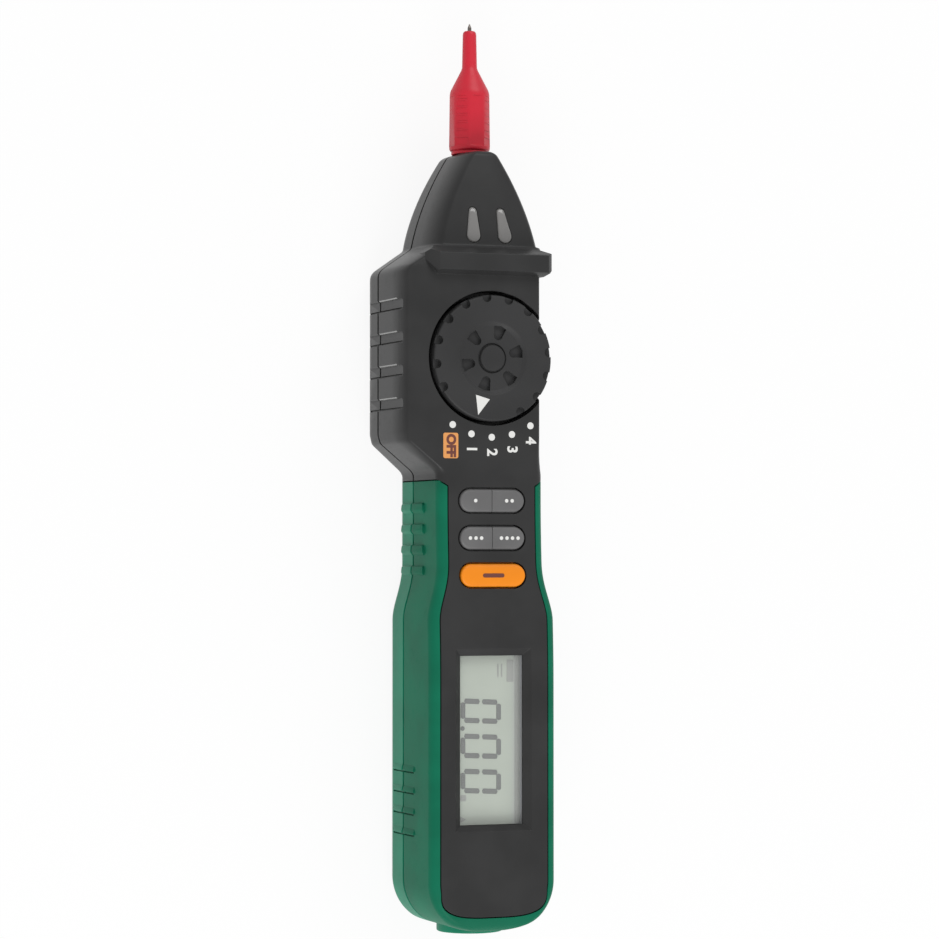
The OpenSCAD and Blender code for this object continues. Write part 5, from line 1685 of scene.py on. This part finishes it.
@dataclass
class Display:
    """The display: its window, film, reading and holder."""

    housing: Housing
    face: float = 25.2
    digits: int = 3
    digit_l: float = 8.65
    digit_w: float = 4.3
    digit_pitch: float = 7.87
    digit_x: float = -6.4
    digit_rise: float = 6.6
    bar: float = 1.15
    bar_gap: float = 0.25
    lean: float = 0.05

    def bar_outline(self, length: float) -> list[Point2]:
        """One segment of a digit, along +X from the origin, with slanted ends."""
        h, end = self.bar / 2, length - self.bar / 2 * 0.5
        return [(h * 0.5, -h), (end, -h), (length, 0), (end, h), (h * 0.5, h), (0, 0)]

    def digit(self, x: float, y: float) -> list[list[Point2]]:
        """A nought whose top points to the right.

        Args:
            x: Its lower edge.
            y: Its side towards the lower end.

        Returns:
            The outlines of its six segments.
        """
        half, wide, gap = self.digit_l / 2, self.digit_w, self.bar_gap
        along, across = self.bar_outline(half - 2 * gap), self.bar_outline(wide - 2 * gap)
        starts = [(start, row) for row in (0.0, wide) for start in (0.0, half)]
        parts = [turned_outline(along, x + start + gap, y + row) for start, row in starts]
        parts += [turned_outline(across, x + column, y + gap, 90) for column in (0.0, self.digit_l)]
        return [[(u, v - self.lean * (u - x)) for u, v in part] for part in parts]

    def build(self) -> None:
        """Make and dress the display."""
        y0 = self.housing.window_y
        places = [y0 + self.digit_rise - self.digit_w / 2 - i * self.digit_pitch for i in range(self.digits)]
        prints = {
            "display_reading": [part for y in places for part in self.digit(self.digit_x, y)],
            "display_point": [disc(-6.5, y0 + 2.6, 0.52, 20)],
            # A grey strip along the film's right edge: painted shade under the window's wall, in the mark
            # finish.
            "display_shade_strip": [box_outline(6.1, 7.4, y0 - 19.3, y0 + 19.3)],
            "display_tag": [
                box_outline(4.2, 5.9, y0 + 12.9, y0 + 17.9),
                *[box_outline(x, x + 0.35, y0 + 14.0, y0 + 17.0) for x in (1.9, 2.8)],
                rounded(-7.0, -5.6, y0 - 13.7, y0 - 12.3, 0.3),
                [(-7.0, y0 - 18.5), (-5.6, y0 - 17.8), (-7.0, y0 - 17.1)],
            ],
        }
        # The segments are dark print, the right-edge strip is painted shade, and the tag marks are faint print.
        for (name, outlines), finish in zip(prints.items(), [Finishes.SEGMENT] * 2 + [Finishes.FAINT] * 2):
            piece = film(name, outlines, self.face + 0.01, self.face + 0.06)
            dress(piece, finish, "housing", "lcd_grey")
        refinish(
            lcd_window=Finishes.WINDOW,
            lcd_panel=Finishes.PANEL,
            lcd_holder=Finishes.IVORY,
            lcd_contact_strips=Finishes.STRIP,
        )


# ---- indicators, probe and socket ----


@dataclass
class Indicators:
    """The two tear-drop lenses in the nose and the lamps behind them."""

    housing: Housing
    across: float = 3.6
    low_r: float = 1.65
    top_r: float = 0.95
    length: float = 5.5
    lean: float = 9.0
    bottom: float = 18.25
    flange: Point2 = (19.5, 20.3)
    flange_w: float = 0.5
    crown: tuple[Point2, ...] = ((1.0, -0.1), (0.97, 0.1), (0.9, 0.24), (0.75, 0.33), (0.5, 0.39), (0.2, 0.41))

    def outlines(self, wider: float = 0.0) -> list[list[Point2]]:
        """Both lenses' outlines in place.

        Args:
            wider: The margin by which they are made wider.

        Returns:
            The left and the right outline.
        """
        base = tear(self.low_r, self.top_r, self.length, wider)
        shift = self.length * math.sin(math.radians(self.lean)) / 2
        y = self.housing.lens_y
        return [turned_outline(base, -self.across, y), turned_outline(base, self.across + shift, y, self.lean)]

    def lens(self, name: str, index: int) -> bpy.types.Object:
        """One lens with a low crowned top that follows the nose.

        Args:
            name: The piece's name.
            index: 0 for the left lens and 1 for the right.

        Returns:
            The lens with its flange.
        """
        h, outline = self.housing, self.outlines()[index]
        cx, cy = (sum(point[k] for point in outline) / len(outline) for k in (0, 1))
        loops = [[(u, v, self.bottom) for u, v in outline]]
        for share, rise in self.crown:
            spots = [(cx + (u - cx) * share, cy + (v - cy) * share) for u, v in outline]
            loops.append([(x, y, h.face(max(y, h.nose)) + rise) for x, y in spots])
        flange = prism("flange", self.outlines(self.flange_w)[index], *self.flange)
        return carve(rings(name, loops), [flange], Carving.ADD)

    def build(self) -> None:
        """Make and dress the lenses and lamps."""
        for index, node in enumerate(("sense_lens", "logic_lens")):
            piece = shade(self.lens(node.replace("lens", "window"), index), 40)
            dress(piece, Finishes.LENS, "housing", "lens_smoke", [node])
        refinish(sense_lamp=Finishes.LAMP_RED, logic_lamps=Finishes.LAMP_GREEN, sensing_plate=Finishes.BRASS)


@dataclass
class Probe:
    """The probe with its push-on sleeve."""

    housing: Housing
    sleeve_l: float = 28.5
    collar_l: float = 0.8
    grip_l: float = 13.7
    cone_l: float = 5.4
    flats: int = 8
    flat_hw: float = 1.6
    flat_r: float = 4.36
    ribs: int = 6
    rib_pitch: float = 1.7
    rib_l: float = 0.35
    rib_r: float = 4.46

    def profile(self) -> list[Point2]:
        """The sleeve's section.

        Returns:
            Radius and distance from the nose of each ring: up the outside and back down the bore.
        """
        top, end = self.collar_l + self.grip_l, self.sleeve_l
        cone = top + self.cone_l
        collar = [(4.05, 0.0), (4.2, 0.12), (4.2, 0.66), (4.08, 0.78)]
        grip = [(4.3, 0.84), (4.52, 1.0), (4.64, 1.25), (4.68, 1.7)]
        grip += [(4.55, top - 0.7), (4.46, top - 0.1), (4.3, top + 0.35)]
        tube = [(1.95, cone - 0.5), (1.74, cone + 0.1), (1.7, cone + 0.8)]
        mouth = [(1.56, end - 0.9), (1.5, end - 0.5), (1.36, end - 0.16), (1.15, end)]
        bore = [(0.57, end), (0.57, 27.2), (1.12, 24.7), (1.12, 9.0), (2.65, 8.05), (2.65, 0.0)]
        return collar + grip + tube + mouth + bore

    def sleeve(self) -> bpy.types.Object:
        """The red sleeve: collar, flatted grip, cone and tube.

        Returns:
            The sleeve, with fine ribs on every second flat.
        """
        y0, z0 = self.housing.nose_end, self.housing.axis_h
        top = self.collar_l + self.grip_l
        made = turned("red_sleeve", self.profile(), (0, y0, z0), Along.Y, hollow=True)
        tools = []
        for i in range(self.flats):
            across = box_outline(-self.flat_hw, self.flat_hw, self.flat_r, 9)
            flat = prism("flat", across, y0 + 1.8, y0 + top - 1.2, Along.Y)
            if i % 2:
                starts = [y0 + 3.6 + k * self.rib_pitch for k in range(self.ribs)]
                rib = box_outline(-2.5, 2.5, 3.0, self.rib_r)
                carve(flat, [prism("rib", rib, a, a + self.rib_l, Along.Y) for a in starts])
            turn = Matrix.Rotation(math.radians(i * 360 / self.flats), 4, "Y")
            flat.data.transform(Matrix.Translation((0, 0, z0 * MM)) @ turn)
            tools.append(flat)
        return carve(made, tools)

    def build(self) -> None:
        """Make and dress the probe and its sleeve."""
        dress(shade(self.sleeve(), 28), Finishes.RED, "probe_sleeve", "sleeve_red", ["probe_sleeve"])
        refinish(probe_tip=Finishes.STEEL_PAINTED_DARK, probe_holder=Finishes.IVORY, probe_lug=Finishes.BRASS)


@dataclass
class Socket:
    """The common socket in the lower end."""

    housing: Housing
    outer_r: float = 7.55
    inner_r: float = 5.3
    depth: float = 1.3
    proud: float = 1.0

    def collar(self) -> bpy.types.Object:
        """The green collar round the socket's mouth.

        Returns:
            The collar, with a rounded lip.
        """
        outer, inner, lip = self.outer_r, self.inner_r, -self.proud
        rows = [(outer, self.depth), (outer, -0.6), (7.47, -0.84), (7.28, -0.97), (7.0, lip)]
        rows += [(5.8, lip), (5.5, -0.93), (inner, -0.7), (inner, self.depth)]
        return turned("socket_ring", rows, (0, self.housing.lower, self.housing.axis_h), Along.Y, hollow=True)

    def build(self) -> None:
        """Make and dress the socket."""
        dress(shade(self.collar(), 34), Finishes.GREEN_REAR_SHEEN, "housing", "grip_green", ["socket_collar"])
        refinish(socket_body=Finishes.REAR_BLACK, socket_contact=Finishes.ZINC)


# ---- battery bay and board ----


@dataclass
class BatteryBay:
    """The battery door, the cells and their contacts."""

    housing: Housing
    plate_t: float = 1.6
    ridges: int = 5
    ridge_pitch: float = 2.1
    ridge_r: float = 0.53
    ridge_hw: float = 5.4

    @staticmethod
    def door_outlines(gap: float) -> list[list[Point2]]:
        """The door's outlines.

        Args:
            gap: How much wider than the door they are.

        Returns:
            The plate and the tongue.
        """
        return [
            rounded(-11.75 - gap, 11.75 + gap, -58.1 - gap, -4.4 + gap, 0.9 + gap),
            rounded(-4.2 - gap, 4.2 + gap, -64.3 - gap, -56.0, 0.9 + gap),
        ]

    def door(self) -> bpy.types.Object:
        """The door.

        Returns:
            The door with its grip ridges and screw hole, its edges following the belly.
        """
        plate, tongue = self.door_outlines(0)
        door = prism("door_plate", plate, 0, self.plate_t)
        carve(door, [prism("tongue", tongue, 0, self.plate_t)], Carving.ADD)
        belly = rounded(-self.housing.belly_hw, self.housing.belly_hw, 0, 13.5, 4.5, 16)
        carve(door, [prism("belly", belly, -70, 0, Along.Y)], Carving.KEEP)
        ridges = [disc(-4.4 - self.ridge_pitch * (i + 2), 0, self.ridge_r, 24) for i in range(self.ridges)]
        tools = [prism("ridge", outline, -self.ridge_hw, self.ridge_hw, Along.X) for outline in ridges]
        screw = (0, self.housing.door_screw_y)
        tools += [prism("sink", disc(*screw, 2.2, 40), -2, 0.8), prism("hole", disc(*screw, 1.3, 32), -2, 3)]
        return carve(door, tools)

    def build(self) -> None:
        """Make and dress the bay's pieces."""
        dress(shade(self.door(), 34), Finishes.REAR_BLACK, "battery_door", "case_black", ["battery_door"])
        refinish(
            battery_door_screw=Finishes.ZINC,
            case_screws=Finishes.ZINC,
            cell_left=Finishes.CELL_LEFT,
            cell_right=Finishes.CELL_RIGHT,
            cell_springs=Finishes.ZINC,
            cell_plates=Finishes.ZINC,
        )


class Electronics:
    """The board and what it carries."""

    def build(self) -> None:
        """Dress the board and its parts."""
        refinish(
            main_board=Finishes.BOARD,
            measuring_chip=Finishes.CHIP,
            board_parts=Finishes.CERAMIC,
            buzzer=Finishes.CHIP,
            fuse=Finishes.GLASS,
            fuse_clips=Finishes.BRASS,
        )


# ---- printed marks ----


@dataclass
class Markings:
    """Printed dots, plain numbers and the OFF plate below the dial."""

    housing: Housing
    dot_ring: float = 17.8
    dot_r: float = 0.78
    step: float = 16.05
    film_t: float = 0.04
    sunk: float = 0.02
    plate: Point2 = (1.8, 2.85)
    plate_offset: Point2 = (-0.45, -4.7)
    number_drop: float = 3.4
    number_size: float = 3.4
    word_size: float = 2.9

    def place(self, index: int) -> Point2:
        """Where a switch position's dot lies; -2 is the left one."""
        a = math.radians(-90 + index * self.step)
        return (self.dot_ring * math.cos(a), self.housing.dial_y + self.dot_ring * math.sin(a))

    def lettering(self, name: str, words: str, spot: Point2, size: float, bold: float) -> bpy.types.Object:
        """Printed words that read down the meter.

        Args:
            name: The piece's name.
            words: The words.
            spot: Their middle.
            size: Their height.
            bold: How far the strokes are thickened.

        Returns:
            The words as one thin piece.
        """
        curve = bpy.data.curves.new(name, "FONT")
        curve.body, curve.size, curve.extrude = words, size * MM, self.film_t * MM
        curve.align_x, curve.align_y, curve.offset = "CENTER", "CENTER", bold * MM
        text = link(name, curve)
        mesh = evaluated(text)
        bpy.data.objects.remove(text)
        place = Matrix.Translation((spot[0] * MM, spot[1] * MM, self.housing.head_face * MM))
        mesh.transform(place @ Matrix.Rotation(-QUARTER, 4, "Z"))
        return link(name, mesh)

    def build(self) -> None:
        """Make and dress the printed marks."""
        low, high = self.housing.head_face - self.sunk, self.housing.head_face + self.film_t
        for i in range(-2, 3):
            dot = prism(f"position_dot_{i + 2}", disc(*self.place(i), self.dot_r, 32), low, high)
            dress(dot, Finishes.WHITE_INK, "housing", "pointer_white")
        x, y = (a + b for a, b in zip(self.place(-2), self.plate_offset))
        (hw, hl), top = self.plate, self.housing.head_face + self.film_t * 0.6
        plate = prism("off_plate", rounded(x - hw, x + hw, y - hl, y + hl, 0.45), low, top)
        dress(plate, Finishes.ORANGE_INK, "housing", "pointer_white")
        word = self.lettering("off_word", "OFF", (x, y), self.word_size, 0.17)
        dress(word, Finishes.DARK_INK, "housing", "pointer_white")
        for i, number in zip(range(-1, 3), "1234"):
            x, y = self.place(i)
            spot = (x, y - self.number_drop)
            made = self.lettering(f"position_number_{number}", number, spot, self.number_size, 0.1)
            dress(made, Finishes.WHITE_INK, "housing", "pointer_white")


# ---- the studio ----


@dataclass
class Studio:
    """The floor, the lamps, the surroundings and the camera."""

    yaw: float = 22.0
    pitch: float = 1.53
    distance: float = 740.0
    focal_px: float = 3234.0
    frame_px: float = 939.0
    sensor: float = 36.0
    eye_y: float = 8.0
    axis_h: float = 13.3
    floor_half: float = 3000.0
    floor_z: float = -0.05
    dim: float = 0.13
    white_least: float = 0.5

    def floor(self) -> None:
        """A wide pale floor under the meter."""
        half = self.floor_half
        spots = [(x, y, self.floor_z) for x, y in box_outline(-half, half, -half, half)]
        floor = solid("floor", spots, [[0, 1, 2, 3]])
        floor.data.materials.append(Finishes.get(Finishes.FLOOR))

    def lamp(self, name: str, place: Point3, size: tuple[float, float], watts: float) -> None:
        """A soft box that looks at the meter.

        Args:
            name: The lamp's name.
            place: Where it stands, in metres.
            size: Its width and height, in metres.
            watts: Its power.
        """
        light = bpy.data.lights.new(name, "AREA")
        light.shape, light.size, light.size_y, light.energy = "RECTANGLE", size[0], size[1], watts
        made = link(name, light)
        made.location = place
        made.rotation_mode = "QUATERNION"
        made.rotation_quaternion = (Vector((0, 0, 0.02)) - Vector(place)).to_track_quat("-Z", "Y")

    def world(self) -> None:
        """Even light from all round, and plain white for the eye, reflections and glass."""
        bpy.context.scene.world = bpy.data.worlds.new("surroundings")
        g = Graph(bpy.context.scene.world, "OutputWorld")
        path = g.node("LightPath")
        share: object = self.white_least
        for kind in SEEN_RAYS:
            share = Value(g, path.outputs[kind]).most(share)
        dim, white = (g.node("Background", None, {0: (1.0, 1.0, 1.0), 1: level}) for level in (self.dim, 1.0))
        g.close(g.node("MixShader", None, {0: share, 1: dim.outputs[0], 2: white.outputs[0]}))

    def camera(self) -> None:
        """The photograph's view: from the front, turned to the meter's left."""
        c, s = math.cos(math.radians(self.yaw)), math.sin(math.radians(self.yaw))
        cp, sp = math.cos(math.radians(self.pitch)), math.sin(math.radians(self.pitch))
        back, right = Vector((-s * cp, -sp, c * cp)), Vector((c, 0, s))
        place = Vector((-s * self.distance, self.eye_y, self.axis_h + c * self.distance)) * MM
        data = bpy.data.cameras.new("view")
        data.sensor_width, data.lens = self.sensor, self.sensor * self.focal_px / self.frame_px
        data.clip_start, data.clip_end = 0.01, 20
        made = link("view", data)
        columns = (right, back.cross(right), back, place)
        made.matrix_world = Matrix([[column[k] for column in columns] for k in range(3)] + [[0, 0, 0, 1]])
        bpy.context.scene.camera = made

    def build(self) -> None:
        """Set up the stage."""
        bpy.context.scene.view_settings.view_transform = "Standard"
        self.floor()
        self.world()
        self.lamp("upper", (0.25, 0.95, 0.8), (0.9, 0.5), 5.4)
        self.lamp("lower", (-0.2, -0.95, 0.75), (0.9, 0.5), 9.4)
        self.camera()


def main() -> None:
    """Build the meter in order."""
    logging.basicConfig(level=logging.INFO, format="%(name)s %(message)s")
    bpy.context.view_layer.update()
    Studio().build()
    housing = Housing()
    for assembly in (
        housing, Dial(housing), Keypad(housing), Display(housing), Indicators(housing),
        Probe(housing), Socket(housing), BatteryBay(housing), Electronics(), Markings(housing),
    ):
        LOG.info("building %s", type(assembly).__name__)
        assembly.build()


if __name__ == "__main__":
    main()
